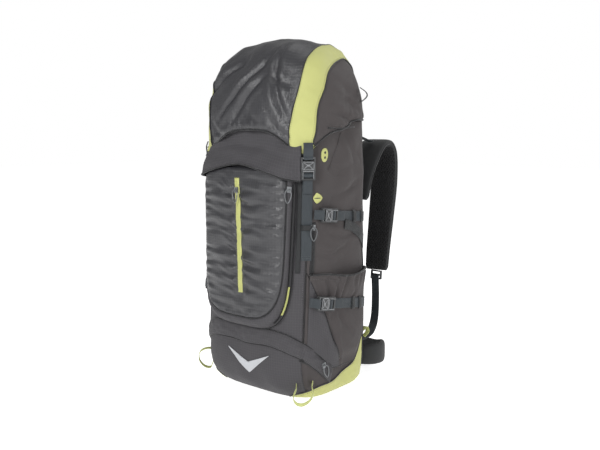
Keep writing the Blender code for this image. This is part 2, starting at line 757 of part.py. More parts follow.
def make_compression():
    levels = (("upper", UPPER_BUCKLE, UPPER_STRAP_DROP, lambda s, z: GAP),
              ("lower", LOWER_BUCKLE, LOWER_STRAP_DROP,
               lambda s, z: side_pocket_lift(s, z) + POCKET_WALL + 0.0004 + 0.0014))
    for level, buckle, drop, base in levels:
        start, end, slope = strap_line(buckle, drop)
        stand = max(base(buckle[0] + d, buckle[1] - d * math.tan(slope)) for d in (0, 0.01, 0.03, 0.05))
        lift = stand + WEBBING_THICK + 0.0009 + BUCKLE_THICK / 2
        for name, sign in (("right", 1), ("left", -1)):
            world = skin_axes(sign * buckle[0], buckle[1], lift, slope)
            buckle_socket(f"{level}_compression_socket_{name}", WEBBING, world)
            buckle_plug(f"{level}_compression_plug_{name}", WEBBING, world)
            strip(f"{level}_compression_strap_{name}", (sign * start[0], start[1]), (sign * end[0], end[1]),
                  WEBBING, base, WEBBING_THICK, "webbing", rows=12)


def make_lid_fastening(lid):
    """Short lid buckles at the front corners and the straps that they pull on."""
    lift = 0.0052 + BUCKLE_THICK / 2
    for name, sign in (("right", 1), ("left", -1)):
        normal = bag_skin.normal(sign * CORNER, LID_BUCKLE_HEIGHT)
        top = bag_skin.at(sign * CORNER, LID_BUCKLE_HEIGHT, lift)
        world = axes(top, Vector((0, 0, -1)), normal)
        buckle_socket("lid_socket_" + name, WEBBING, world, lid)
        buckle_plug("lid_plug_" + name, WEBBING, world)
        strip("lid_strap_" + name, (sign * CORNER, LID_BUCKLE_HEIGHT - 0.006),
              (sign * CORNER, LID_STRAP_BOTTOM), WEBBING, GAP, WEBBING_THICK, "webbing", rows=12)


# ---------------------------------------------------------------- back, harness and hip belt
def box_piece(name, low, high, slot, chamfer=0.0):
    """Upright panel with its vertical corners cut back by chamfer."""
    (x0, y0, z0), (x1, y1, z1) = low, high
    c = chamfer
    outline = [(x0, z0 + c), (x0 + c, z0), (x1 - c, z0), (x1, z0 + c),
               (x1, z1 - c), (x1 - c, z1), (x0 + c, z1), (x0, z1 - c)]
    if not c:
        outline = [(x0, z0), (x1, z0), (x1, z1), (x0, z1)]
    n = len(outline)
    verts = [Vector((x, y, z)) for y in (y0, y1) for x, z in outline]
    faces = [tuple(range(n)), tuple(range(n, 2 * n))]
    faces += [(i, (i + 1) % n, n + (i + 1) % n, n + i) for i in range(n)]
    return add(name, verts, faces, slot)


PANEL_Y = BAG_BACK + GAP + STAY[1] + GAP
PANEL_FACE = PANEL_Y + BACK_PANEL_THICK


def make_back():
    stay_y = BAG_BACK + GAP
    for name, sign in (("right", 1), ("left", -1)):
        x = sign * STAY_SPACING / 2
        box_piece("stay_" + name, (x - STAY[0] / 2, stay_y, BACK_PANEL_BOTTOM + 0.004),
                  (x + STAY[0] / 2, stay_y + STAY[1], BACK_PANEL_TOP - 0.010), "stay_metal", 0.004)
    wide = BACK_PANEL_WIDTH / 2
    box_piece("back_panel", (-wide, PANEL_Y, BACK_PANEL_BOTTOM), (wide, PANEL_FACE, BACK_PANEL_TOP),
              "mesh_pad", 0.030)
    wide = LUMBAR_WIDTH / 2
    box_piece("lumbar_pad", (-wide, BAG_BACK + GAP, HIP_HEIGHT - 0.030),
              (wide, BAG_BACK + GAP + LUMBAR_THICK, BACK_PANEL_BOTTOM - GAP), "mesh_pad", 0.012)
    loop_y = BAG_BACK + 0.009
    base = BACK_PANEL_TOP + 0.006
    loop = [(-0.034, 0, base), (-0.034, 0.002, base + 0.012), (-0.030, 0.014, base + 0.030),
            (-0.012, 0.022, base + 0.040), (0.012, 0.022, base + 0.040), (0.030, 0.014, base + 0.030),
            (0.034, 0.002, base + 0.012), (0.034, 0, base)]
    points = [Vector((x, loop_y + y, z)) for x, y, z in loop]
    ribbon("haul_loop", points, Vector((0, 0.9, -0.45)), 0.016, WEBBING_THICK, "webbing", count=20)


def make_harness():
    middle = SHOULDER_SPACING / 2
    face = PANEL_FACE + GAP
    for name, sign in (("right", 1), ("left", -1)):
        across = Vector((1, 0, 0))
        # Sideways from the strap's middle, out from the panel's face and up from the panel's top.
        # It starts 2 mm clear of the face, so that the panel can lie flat on something.
        route = [(-0.004, 0.0098, -0.110), (-0.002, 0.022, -0.062), (0.0, 0.044, -0.022),
                 (0.001, 0.068, 0.006), (0.002, 0.093, 0.012), (0.003, 0.11067, -0.012),
                 (0.004, 0.11167, -0.080), (0.006, 0.099, -0.160), (0.008, 0.086, -0.230),
                 (0.010, 0.078, -0.278)]
        points = [Vector((sign * (middle + x), face + y, BACK_PANEL_TOP + z)) for x, y, z in route]
        ribbon("shoulder_strap_" + name, points, across, lambda t: SHOULDER_WIDTH * (1 - 0.35 * max(0, t - 0.55)),
               SHOULDER_THICK, "mesh_pad", count=22, round_edge=0.6)
        end = points[-1]
        lock = axes(end + Vector((0, 0, -0.0012)), Vector((0, -0.1, -1)), Vector((0, 1, -0.1)))
        ladder_lock("ladder_lock_" + name, WEBBING, lock)
        start = end + Vector((0, -0.0062, -0.010))
        corner = Vector((sign * (middle + 0.028), BAG_BACK + 0.0015, BACK_PANEL_BOTTOM + 0.006))
        fall = start.z - corner.z
        down = [start, start + Vector((sign * 0.004, -0.003, -0.385 * fall)),
                start + Vector((sign * 0.012, -0.018, -0.738 * fall)),
                start + Vector((sign * 0.024, -0.052, -0.923 * fall)),
                corner + Vector((sign * 0.004, 0.020, 0.002)), corner]
        ribbon("shoulder_webbing_" + name, down, across, WEBBING, WEBBING_THICK, "webbing", count=20)
        high = Vector((sign * middle, BAG_BACK + GAP + 0.001, BAG_HEIGHT - 0.022))
        low = Vector((sign * middle, face + 0.062, points[3].z + 0.0085))
        ribbon("load_lifter_" + name, [high, high.lerp(low, 0.5) + Vector((0, 0, -0.001)), low],
               across, WEBBING * 0.8, WEBBING_THICK, "webbing", count=8)


def make_sternum_strap():
    y = PANEL_FACE + GAP + 0.110
    z = BACK_PANEL_TOP - 0.075
    inner = SHOULDER_SPACING / 2 + 0.004 - SHOULDER_WIDTH / 2 - 0.001
    lift = BUCKLE_THICK / 2 + WEBBING_THICK + 0.001
    world = axes(Vector((0, y + lift, z)), Vector((-1, 0, 0)), Vector((0, 1, 0)))
    buckle_socket("sternum_socket", WEBBING, world)
    buckle_plug("sternum_plug", WEBBING, world)
    for name, near, far in (("right", 0.0225, inner), ("left", -0.006, -inner)):
        points = [Vector((near, y, z)), Vector(((near + far) / 2, y, z)), Vector((far, y, z))]
        ribbon("sternum_web_" + name, points, Vector((0, 0, 1)), WEBBING, WEBBING_THICK, "webbing", count=6)


HIP_AXIS = (LUMBAR_WIDTH / 2 + 0.004, BAG_BACK + GAP + 0.024)


def make_hip_belt():
    x0, y0 = HIP_AXIS
    plan = [(0.0, 0.0), (0.024, 0.008), (0.040, 0.027), (0.041, 0.052), (0.024, 0.073),
            (-0.087 * x0, 0.084), (-0.435 * x0, 0.086)]
    belt_y = y0 + plan[-1][1]
    for name, sign in (("right", 1), ("left", -1)):
        # The right wing stops at its socket, and the left one runs on beneath the plug's ladder.
        tail = 0.0285 if sign > 0 else 0.0060
        points = [Vector((sign * x, y, 0)) for x, y in plan + [(tail - x0, plan[-1][1])]]
        ribbon("hip_wing_" + name, points, Vector((0, 0, 1)), lambda t: smooth_between(
            t, [(0, HIP_WING_HEIGHT), (0.50, HIP_WING_HEIGHT), (0.66, HIP_WEBBING), (1, HIP_WEBBING)]),
            lambda t: smooth_between(t, [(0, HIP_WING_THICK), (0.5, HIP_WING_THICK), (0.66, WEBBING_THICK),
                                         (1, WEBBING_THICK)]),
            "mesh_pad", count=30, round_edge=0.6, world=Matrix.Translation((sign * x0, y0, HIP_HEIGHT)))
    lift = BUCKLE_THICK / 2 + WEBBING_THICK + 0.001
    world = axes(Vector((0, belt_y + lift, HIP_HEIGHT)), Vector((-1, 0, 0)), Vector((0, 1, 0)))
    buckle_socket("hip_socket", HIP_WEBBING, world, bpy.data.objects["hip_wing_right"])
    buckle_plug("hip_plug", HIP_WEBBING, world, bpy.data.objects["hip_wing_left"])


def make_ice_axe_loops():
    """The right loop hangs forward from the corner; the left one stands out sideways, in an upright ring."""
    hanging = [(0.012, -0.016), (0.030, -0.020), (0.046, -0.013), (0.052, 0.0),
               (0.046, 0.013), (0.030, 0.020), (0.012, 0.016)]
    upright = [(0.010, -0.014), (0.023, -0.008), (0.030, 0.004), (0.030, 0.018),
               (0.022, 0.030), (0.010, 0.033), (0.004, 0.024)]
    for name, shape, roots, sink in (
            ("right", hanging, ((CORNER - 0.016, 0.036), (CORNER + 0.018, 0.040)), -0.62),
            ("left", upright, ((-CORNER, 0.062), (-CORNER, 0.034)), 0.0)):
        root_a, root_b = [bag_skin.at(s, z, 0.0012) for s, z in roots]
        out = (bag_skin.normal(*roots[0]) + Vector((0, 0, sink))).normalized()
        along = (root_b - root_a).normalized()
        middle = (root_a + root_b) / 2
        points = [root_a] + [middle + out * reach + along * side for reach, side in shape] + [root_b]
        ribbon("ice_axe_loop_" + name, points, out.cross(along), 0.010, 0.0012, "lime_fabric", count=24)


# ---------------------------------------------------------------- build
make_main_bag()
make_collar()
lid_piece = make_lid()
make_front_pocket()
make_zips()
make_bottom_flap()
make_side_pockets()
make_compression()
make_lid_fastening(lid_piece)
make_back()
make_harness()
make_sternum_strap()
make_hip_belt()
make_ice_axe_loops()

# The origin goes to the middle of the outline on the floor.
bpy.context.view_layer.update()
reach = [(obj.matrix_world @ Vector(corner)).y for obj in bpy.data.objects
         if obj.type != "EMPTY" for corner in obj.bound_box]
pack_frame.location.y = -(min(reach) + max(reach)) / 2
bpy.context.view_layer.update()
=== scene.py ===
"""Looks of the hiking backpack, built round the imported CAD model. Metres, in the CAD frame."""
import json
import math

import bmesh
import bpy
import numpy as np
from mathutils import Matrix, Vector
from mathutils.bvhtree import BVHTree

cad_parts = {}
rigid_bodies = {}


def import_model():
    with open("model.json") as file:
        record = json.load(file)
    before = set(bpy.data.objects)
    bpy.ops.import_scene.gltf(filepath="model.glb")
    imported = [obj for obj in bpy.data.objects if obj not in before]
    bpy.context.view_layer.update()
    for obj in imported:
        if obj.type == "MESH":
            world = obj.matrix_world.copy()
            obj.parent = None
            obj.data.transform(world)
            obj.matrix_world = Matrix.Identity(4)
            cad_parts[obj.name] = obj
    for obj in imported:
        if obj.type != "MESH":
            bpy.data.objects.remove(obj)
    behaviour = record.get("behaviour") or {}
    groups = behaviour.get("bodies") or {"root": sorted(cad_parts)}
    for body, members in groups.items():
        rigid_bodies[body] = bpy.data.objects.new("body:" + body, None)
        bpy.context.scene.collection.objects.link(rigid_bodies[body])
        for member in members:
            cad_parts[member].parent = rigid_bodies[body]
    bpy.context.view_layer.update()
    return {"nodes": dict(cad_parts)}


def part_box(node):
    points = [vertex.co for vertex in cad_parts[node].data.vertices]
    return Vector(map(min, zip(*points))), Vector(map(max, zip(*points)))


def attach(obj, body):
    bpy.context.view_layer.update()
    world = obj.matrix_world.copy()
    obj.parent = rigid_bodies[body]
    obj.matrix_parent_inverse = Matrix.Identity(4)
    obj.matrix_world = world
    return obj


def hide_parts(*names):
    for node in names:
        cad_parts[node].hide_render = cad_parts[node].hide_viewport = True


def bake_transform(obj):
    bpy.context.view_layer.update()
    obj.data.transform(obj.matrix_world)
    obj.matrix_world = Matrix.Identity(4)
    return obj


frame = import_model()

# ---------------------------------------------------------------- measures read from the frame
BAG_LOW, BAG_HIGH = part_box("main_bag")
HALF = BAG_HIGH.x
RIM = BAG_HIGH.z
BACK = 0.105  # from the sections' centre to the back
BULGE = 0.015  # the belly stands this far before the front
SHIFT = BAG_HIGH.y - BACK
FRONT = SHIFT - BAG_LOW.y - BULGE
HINGE_Z = RIM + 0.001  # the lid turns just above the rim
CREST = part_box("lid")[1].z
PANEL_LOW, PANEL_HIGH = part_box("back_panel")
PANEL_FACE = PANEL_HIGH.y
CORNER = 0.138  # girth of the front corners
SIDES = (("right", 1.0), ("left", -1.0))
FLOOR_GAP = 0.0006  # the bag's underside stands this far off the floor
SEAM_STEP, STITCH_STEP, ZIP_STEP = 0.004, 0.003, 0.0035  # spacing of the points along sewn lines


# ---------------------------------------------------------------- camera, light and floor
def make_stage():
    azimuth, pitch, distance, aside, eye = math.radians(40.0), math.radians(7.4), 1.56, 0.032, 0.54
    back = Vector((math.sin(azimuth), -math.cos(azimuth), 0))
    right = Vector((math.cos(azimuth), math.sin(azimuth), 0))
    data = bpy.data.cameras.new("camera")
    data.sensor_width = 36.0
    data.lens = 43.8
    camera = bpy.data.objects.new("camera", data)
    bpy.context.scene.collection.objects.link(camera)
    camera.location = back * distance + right * aside + Vector((0, SHIFT, eye))
    camera.rotation_euler = (math.pi / 2 - pitch, 0, azimuth)
    bpy.context.scene.camera = camera

    world = bpy.data.worlds.new("studio")
    world.use_nodes = True
    shade = world.node_tree.nodes["Background"]
    shade.inputs["Color"].default_value = (1.0, 1.0, 1.0, 1.0)
    seen = world.node_tree.nodes.new("ShaderNodeLightPath").outputs["Is Camera Ray"]
    power = world.node_tree.nodes.new("ShaderNodeMapRange")
    world.node_tree.links.new(seen, power.inputs["Value"])
    # The sky is white to the camera and dimmer as a light.
    power.inputs["To Min"].default_value, power.inputs["To Max"].default_value = 0.34, 1.0
    world.node_tree.links.new(power.outputs["Result"], shade.inputs["Strength"])
    bpy.context.scene.world = world
    bpy.context.scene.view_settings.view_transform = "Standard"

    lamps = (("key", (0.5, -2.5, 1.5), 0.7, 46), ("side", (2.5, -0.6, 1.1), 0.7, 20),
             ("rim", (0.8, 2.0, 1.9), 1.2, 22), ("top", (0.0, 0.4, 2.6), 1.0, 6))
    for name, place, size, power in lamps:
        light = bpy.data.lights.new(name, "AREA")
        light.size = size
        light.energy = power
        lamp = bpy.data.objects.new(name, light)
        bpy.context.scene.collection.objects.link(lamp)
        lamp.location = place
        lamp.rotation_euler = (Vector((0, 0, 0.35)) - lamp.location).to_track_quat("-Z", "Y").to_euler()

    mesh = bpy.data.meshes.new("floor")
    mesh.from_pydata([(-9, -9, 0), (9, -9, 0), (9, 9, 0), (-9, 9, 0)], [], [(0, 1, 2, 3)])
    floor = bpy.data.objects.new("floor", mesh)
    bpy.context.scene.collection.objects.link(floor)
    paper = plain("floor_paper", (0.90, 0.90, 0.90), 0.9)
    adjust(paper.node_tree.nodes["Principled BSDF"], Emission_Color=(1.0, 1.0, 1.0, 1.0),
           Emission_Strength=0.72)
    mesh.materials.append(paper)


# ---------------------------------------------------------------- materials
def new_material(name):
    made = bpy.data.materials.new(name)
    made.use_nodes = True
    tree = made.node_tree
    return made, tree, tree.nodes["Principled BSDF"]


def feed(tree, target, value):
    """Link an input to a socket, or set it to a value."""
    if isinstance(value, bpy.types.NodeSocket):
        tree.links.new(value, target)
    else:
        target.default_value = value


def node(tree, kind, links=(), **values):
    """Add a node: links are (input, socket or value) pairs, values set its attributes."""
    made = tree.nodes.new(kind)
    for key, value in values.items():
        setattr(made, key, value)
    for key, value in links:
        feed(tree, made.inputs[key], value)
    return made


def adjust(shader, **values):
    """Set a shader's inputs; a _ stands for the space in an input's name."""
    for key, value in values.items():
        shader.inputs[key.replace("_", " ")].default_value = value


def tone(colour, factor):
    return [min(1.0, c * factor) for c in colour]


def noise(tree, place, scale, detail):
    return node(tree, "ShaderNodeTexNoise", [("Vector", place), ("Scale", scale),
                                             ("Detail", detail)]).outputs["Fac"]


def cloth_uv(tree):
    return node(tree, "ShaderNodeUVMap", uv_map="cloth").outputs["UV"]


def object_place(tree):
    return node(tree, "ShaderNodeTexCoord").outputs["Object"]


def varied(tree, value, low, high):
    """A 0..1 value spread over low..high."""
    return node(tree, "ShaderNodeMapRange", [("Value", value), ("To Min", low),
                                             ("To Max", high)]).outputs["Result"]


def bump_on(tree, shader, height, strength, distance, *below):
    bump = node(tree, "ShaderNodeBump", [("Height", height), ("Strength", strength), ("Distance", distance),
                                         *below])
    tree.links.new(bump.outputs["Normal"], shader.inputs["Normal"])
    return bump.outputs["Normal"]


def plain(name, colour, roughness):
    made, tree, shader = new_material(name)
    adjust(shader, Roughness=roughness)
    spots = node(tree, "ShaderNodeTexNoise", [("Scale", 3.0), ("Detail", 2.0)])
    tree.links.new(mixed(tree, spots.outputs["Fac"], colour, tone(colour, 0.98)), shader.inputs["Base Color"])
    return made


def mixed(tree, factor, a, b):
    """Colour mix of two colours or sockets."""
    made = node(tree, "ShaderNodeMix", [("Factor", factor)], data_type="RGBA")
    for key, value in (("A", a), ("B", b)):
        feed(tree, made.inputs[key], value if isinstance(value, bpy.types.NodeSocket) else (*value, 1))
    return made.outputs["Result"]


def maths(tree, operation, a, b):
    made = node(tree, "ShaderNodeMath", operation=operation)
    for i, value in enumerate((a, b)):
        feed(tree, made.inputs[i], value)
    return made.outputs[0]


def waves(tree, vector, axis, pitch, distortion=0.0):
    """Thread-like bands, pitch metres apart, along a UV axis."""
    made = node(tree, "ShaderNodeTexWave", [("Vector", vector), ("Scale", 0.314159 / pitch),
                                            ("Distortion", distortion),
                                            ("Detail", 1.0), ("Detail Scale", 2.0)],
                wave_type="BANDS", bands_direction=axis)
    return made.outputs["Fac"]


def fabric(name, colour, roughness, pitch=0.0012, weave=0.25, sheen=0.2, heather=0.12, ripstop=0.0,
           coarse=0.0,
           specular=0.4):
    """Woven cloth: threads both ways, mottled colour, an optional ripstop grid and soft creasing."""
    made, tree, shader = new_material(name)
    uv, place = cloth_uv(tree), object_place(tree)
    threads = maths(tree, "MULTIPLY", waves(tree, uv, "X", pitch, 0.4), waves(tree, uv, "Y", pitch, 0.4))
    mottle, grain = noise(tree, place, 22.0, 5.0), noise(tree, place, 900.0, 2.0)
    base = mixed(tree, mottle, tone(colour, 1 - heather), tone(colour, 1 + heather))
    base = mixed(tree, maths(tree, "MULTIPLY", grain, 0.5), base, tone(colour, 1 - 1.5 * heather))
    base = mixed(tree, maths(tree, "MULTIPLY", threads, weave), base, tone(colour, 1.35))
    height = threads
    if ripstop:
        for axis in "XY":
            line = maths(tree, "POWER", waves(tree, uv, axis, ripstop), 14.0)
            base = mixed(tree, maths(tree, "MULTIPLY", line, 0.35), base, tone(colour, 1.5))
            height = maths(tree, "ADD", height, maths(tree, "MULTIPLY", line, 1.5))
    tree.links.new(base, shader.inputs["Base Color"])
    tree.links.new(varied(tree, mottle, roughness - 0.06, roughness + 0.08), shader.inputs["Roughness"])
    adjust(shader, Sheen_Weight=sheen, Sheen_Roughness=0.45, Specular_IOR_Level=specular)
    threads_bump = bump_on(tree, shader, height, 0.35, 0.0003)
    if coarse:
        bump_on(tree, shader, noise(tree, place, 55.0, 3.0), coarse, 0.002, ("Normal", threads_bump))
    return made


def webbing_material(name, colour, roughness=0.55):
    """Flat webbing: ribs across it and a herringbone tone along it."""
    made, tree, shader = new_material(name)
    uv = cloth_uv(tree)
    ribs, cords = waves(tree, uv, "Y", 0.0013, 0.2), waves(tree, uv, "X", 0.0026, 0.6)
    base = mixed(tree, noise(tree, object_place(tree), 60.0, 4.0), tone(colour, 0.8), tone(colour, 1.2))
    base = mixed(tree, maths(tree, "MULTIPLY", ribs, 0.35), base, tone(colour, 1.6))
    base = mixed(tree, maths(tree, "MULTIPLY", cords, 0.2), base, tone(colour, 0.5))
    tree.links.new(base, shader.inputs["Base Color"])
    adjust(shader, Roughness=roughness, Specular_IOR_Level=0.3, Sheen_Weight=0.08)
    bump_on(tree, shader, maths(tree, "ADD", ribs, maths(tree, "MULTIPLY", cords, 0.6)), 0.5, 0.0004)
    return made


def mesh_material(name, colour, hole):
    """Open spacer mesh: rows of round holes over dark foam."""
    made, tree, shader = new_material(name)
    spread = node(tree, "ShaderNodeMapping", [("Vector", cloth_uv(tree)),
                                              ("Scale", (1 / hole, 0.8 / hole, 1.0)),
                                              ("Rotation", (0, 0, math.radians(45)))]).outputs["Vector"]
    cells = node(tree, "ShaderNodeTexVoronoi", [("Vector", spread), ("Scale", 1.0), ("Randomness", 0.12)])
    open_part = node(tree, "ShaderNodeMapRange", [("Value", cells.outputs["Distance"]), ("From Min", 0.22),
                                                  ("From Max", 0.42)]).outputs["Result"]
    tree.links.new(mixed(tree, open_part, tone(colour, 0.12), colour), shader.inputs["Base Color"])
    adjust(shader, Roughness=0.7, Specular_IOR_Level=0.3, Sheen_Weight=0.05)
    bump_on(tree, shader, open_part, 0.9, 0.001)
    return made


def hard(name, colour, roughness, metallic=0.0, edge_wear_and_highlight=0.4, grain=350.0):
    """Moulded plastic or painted metal, faintly grained, paler along its edges: partly rubbed pale with use,
    partly a painted highlight.
    """
    made, tree, shader = new_material(name)
    speckle = noise(tree, object_place(tree), grain, 3.0)
    edge = node(tree, "ShaderNodeNewGeometry").outputs["Pointiness"]
    worn_and_lit_edge = node(tree, "ShaderNodeMapRange", [("Value", edge), ("From Min", 0.52), ("From Max", 0.62)])
    base = mixed(tree, speckle, tone(colour, 0.85), tone(colour, 1.15))
    # Edges are painted paler: partly rubbing, partly a painted highlight where light catches the moulded
    # edges.
    base = mixed(tree, maths(tree, "MULTIPLY", worn_and_lit_edge.outputs["Result"], edge_wear_and_highlight), base,
                 [min(1.0, c * 2.2 + 0.05) for c in colour])
    tree.links.new(base, shader.inputs["Base Color"])
    tree.links.new(varied(tree, speckle, roughness - 0.05, roughness + 0.1), shader.inputs["Roughness"])
    adjust(shader, Metallic=metallic)
    bump_on(tree, shader, speckle, 0.15, 0.0003)
    return made


MATERIALS = {
    "dark": fabric("matte_dark_cloth", (0.050, 0.048, 0.052), 0.72, ripstop=0.0055, sheen=0.06,
                   specular=0.25),
    "gloss": fabric("glossy_ripstop", (0.028, 0.028, 0.031), 0.32, pitch=0.0010, ripstop=0.0055, sheen=0.0,
                    heather=0.08, specular=0.55, coarse=0.05),
    "side": fabric("side_cloth", (0.053, 0.047, 0.047), 0.80, sheen=0.06, heather=0.08, specular=0.22),
    "lime": fabric("lime_cloth", (0.41, 0.42, 0.155), 0.65, sheen=0.08, heather=0.07, weave=0.10,
                   specular=0.3),
    "piping": fabric("black_piping", (0.010, 0.010, 0.011), 0.60, heather=0.2, specular=0.3),
    "thread": fabric("sewing_thread", (0.030, 0.030, 0.032), 0.6),
    "webbing": webbing_material("slate_webbing", (0.027, 0.033, 0.038)),
    "black_webbing": webbing_material("black_webbing", (0.014, 0.015, 0.016)),
    "lime_webbing": webbing_material("lime_webbing", (0.40, 0.43, 0.16), 0.6),
    "mesh": mesh_material("black_mesh", (0.014, 0.014, 0.015), 0.0052),
    "pad": fabric("harness_cloth", (0.026, 0.027, 0.028), 0.70, sheen=0.12, specular=0.3),
    "plastic": hard("buckle_plastic", (0.010, 0.011, 0.012), 0.34, edge_wear_and_highlight=0.5),
    # The ribs are the buckles' black plastic coloured grey: a painted highlight on their moulded edges.
    "rib": hard("buckle_rib_painted_highlight", (0.085, 0.088, 0.092), 0.22, edge_wear_and_highlight=0.6),
    "metal": hard("grey_zinc", (0.10, 0.105, 0.11), 0.36, 0.5),
    "coil": hard("zip_coil", (0.44, 0.46, 0.13), 0.45, 0.0, 0.2),
    "alloy": hard("stay_alloy", (0.70, 0.70, 0.72), 0.32, 1.0, 0.1),
    "reflect": hard("reflector_film", (0.42, 0.43, 0.45), 0.45, 0.1, 0.1, 2500.0),
    "cord": webbing_material("braided_cord", (0.045, 0.05, 0.055)),
    "eyelet": fabric("eyelet_black", (0.012, 0.012, 0.013), 0.6),
}


# ---------------------------------------------------------------- numbers and curves
def hermite(x, xs, ys):
    """Smooth curve through points, for an array of x."""
    x = np.clip(np.asarray(x, float), xs[0], xs[-1])
    xs, ys = np.asarray(xs, float), np.asarray(ys, float)
    slopes = np.empty(len(xs))
    slopes[1:-1] = (ys[2:] - ys[:-2]) / (xs[2:] - xs[:-2])
    slopes[0] = (ys[1] - ys[0]) / (xs[1] - xs[0])
    slopes[-1] = (ys[-1] - ys[-2]) / (xs[-1] - xs[-2])
    i = np.clip(np.searchsorted(xs, x, "right") - 1, 0, len(xs) - 2)
    h = xs[i + 1] - xs[i]
    t = (x - xs[i]) / h
    return ((2 * t**3 - 3 * t**2 + 1) * ys[i] + (t**3 - 2 * t**2 + t) * slopes[i] * h
            + (3 * t**2 - 2 * t**3) * ys[i + 1] + (t**3 - t**2) * slopes[i + 1] * h)


def step(x, low, high):
    t = np.clip((x - low) / (high - low), 0, 1)
    return t * t * (3 - 2 * t)


def unit(vectors):
    return vectors / np.linalg.norm(vectors, axis=-1, keepdims=True)


def run_along(path):
    """Distance from the start at each point of a path."""
    return np.concatenate([[0], np.cumsum(np.linalg.norm(np.diff(path, axis=0), axis=1))])


def length_of(path):
    return np.sum(np.linalg.norm(np.diff(path, axis=0), axis=1))


def unit_grid(columns, rows, left=-1.0, low=0.0):
    """A row of shares left..1 across and a column of shares low..1 upwards."""
    return np.linspace(left, 1, columns)[None, :], np.linspace(low, 1, rows)[:, None]


def smooth_path(points, count):
    """Evenly spread points on a smooth curve through the given ones (any dimension)."""
    points = np.asarray(points, float)
    distance = run_along(points)
    fine = np.linspace(0, distance[-1], count * 4)
    dense = np.stack([hermite(fine, distance, points[:, k]) for k in range(points.shape[1])], 1)
    run = run_along(dense)
    even = np.linspace(0, run[-1], count)
    return np.stack([np.interp(even, run, dense[:, k]) for k in range(points.shape[1])], 1)


RIPPLE_WAVES = 10


def ripple(seed, x, y, scale, stretch=1.0):
    """Smooth seeded noise about -1..1 over a surface, longer along y by stretch."""
    draw = np.random.default_rng(seed)
    x, y = np.broadcast_arrays(np.asarray(x, float), np.asarray(y, float))
    total = np.zeros(x.shape)
    for _ in range(RIPPLE_WAVES):
        angle, phase = draw.uniform(0, 2 * math.pi, 2)
        size = 2 * math.pi / scale * draw.uniform(0.55, 1.5)
        total += np.sin(size * (x * math.cos(angle) + y * math.sin(angle) / stretch) + phase)
    return total / math.sqrt(RIPPLE_WAVES) / 1.4


def crease(x, y, path, depth, width):
    """A sewn-in or pressed fold along a path: a groove with a soft swell beside it."""
    path = np.asarray(path, float)
    best = np.full(np.shape(x), 1e9)
    along = np.zeros(np.shape(x))
    for i, (a, b) in enumerate(zip(path, path[1:])):
        run = b - a
        t = np.clip(((x - a[0]) * run[0] + (y - a[1]) * run[1]) / (run @ run), 0, 1)
        gap = np.hypot(x - a[0] - run[0] * t, y - a[1] - run[1] * t)
        near = gap < best
        best = np.where(near, gap, best)
        along = np.where(near, (i + t) / (len(path) - 1), along)
    fade = np.sin(math.pi * np.clip(along, 0.04, 0.96)) ** 0.5
    groove = np.exp(-((best / width) ** 2))
    swell = np.exp(-(((best - 2.0 * width) / (1.2 * width)) ** 2))
    return fade * depth * (0.45 * swell - groove)


class Skin:
    """A wrapped fabric surface: superelliptic sections, measured by girth from the front centre."""

    def __init__(self, stations, powers, low, high):
        stations = np.asarray(stations, float)
        self.low, self.high, self.levels = low, high, 200
        self.columns = 600
        zs = np.linspace(low, high, self.levels)
        angle = np.linspace(-math.pi / 2, math.pi / 2, 1441)
        c, s = np.abs(np.cos(angle)), np.sin(angle)
        power = np.where(s < 0, powers[0], powers[1])
        self.xy = np.empty((self.levels, self.columns, 2))
        self.total = np.empty(self.levels)
        for k, z in enumerate(zs):
            half, front, back = [hermite(z, stations[:, 0], stations[:, i]) for i in (1, 2, 3)]
            x = half * c ** (2 / power)
            y = np.where(s < 0, front, back) * np.sign(s) * np.abs(s) ** (2 / power)
            girth = np.concatenate([[0], np.cumsum(np.hypot(np.diff(x), np.diff(y)))])
            even = np.linspace(0, girth[-1], self.columns)
            self.xy[k] = np.stack([np.interp(even, girth, x), np.interp(even, girth, y)], 1)
            self.total[k] = girth[-1]

    def half_girth(self, z):
        return np.interp(z, np.linspace(self.low, self.high, self.levels), self.total)

    def look(self, share, z):
        """Bilinear look-up of the half outline at a share of its girth and a height."""
        k = np.clip((z - self.low) / (self.high - self.low), 0, 1) * (self.levels - 1)
        f = np.clip(share, 0, 1) * (self.columns - 1)
        k0, f0 = np.minimum(k.astype(int), self.levels - 2), np.minimum(f.astype(int), self.columns - 2)
        k, f = (k - k0)[..., None], (f - f0)[..., None]
        return ((1 - k) * ((1 - f) * self.xy[k0, f0] + f * self.xy[k0, f0 + 1])
                + k * ((1 - f) * self.xy[k0 + 1, f0] + f * self.xy[k0 + 1, f0 + 1]))

    def at(self, s, z, lift=0.0):
        """Points (..., 3) and outward normals at girth s and height z."""
        s, z = np.broadcast_arrays(np.asarray(s, float), np.asarray(z, float))
        share = np.abs(s) / self.half_girth(z)
        side = np.where(s < 0, -1.0, 1.0)
        xy = self.look(share, z)
        nudge = 0.004
        run = self.look(share + nudge, z) - self.look(share - nudge, z)
        normal = np.stack([side * run[..., 1], -run[..., 0], np.zeros(s.shape)], -1)
        # Square to the pack on its front and back centre lines.
        normal[share < nudge] = (0, -1, 0)
        normal[share > 1 - nudge] = (0, 1, 0)
        normal = unit(normal)
        point = np.stack([side * xy[..., 0], xy[..., 1] + SHIFT, z], -1)
        return point + normal * np.asarray(lift)[..., None], normal


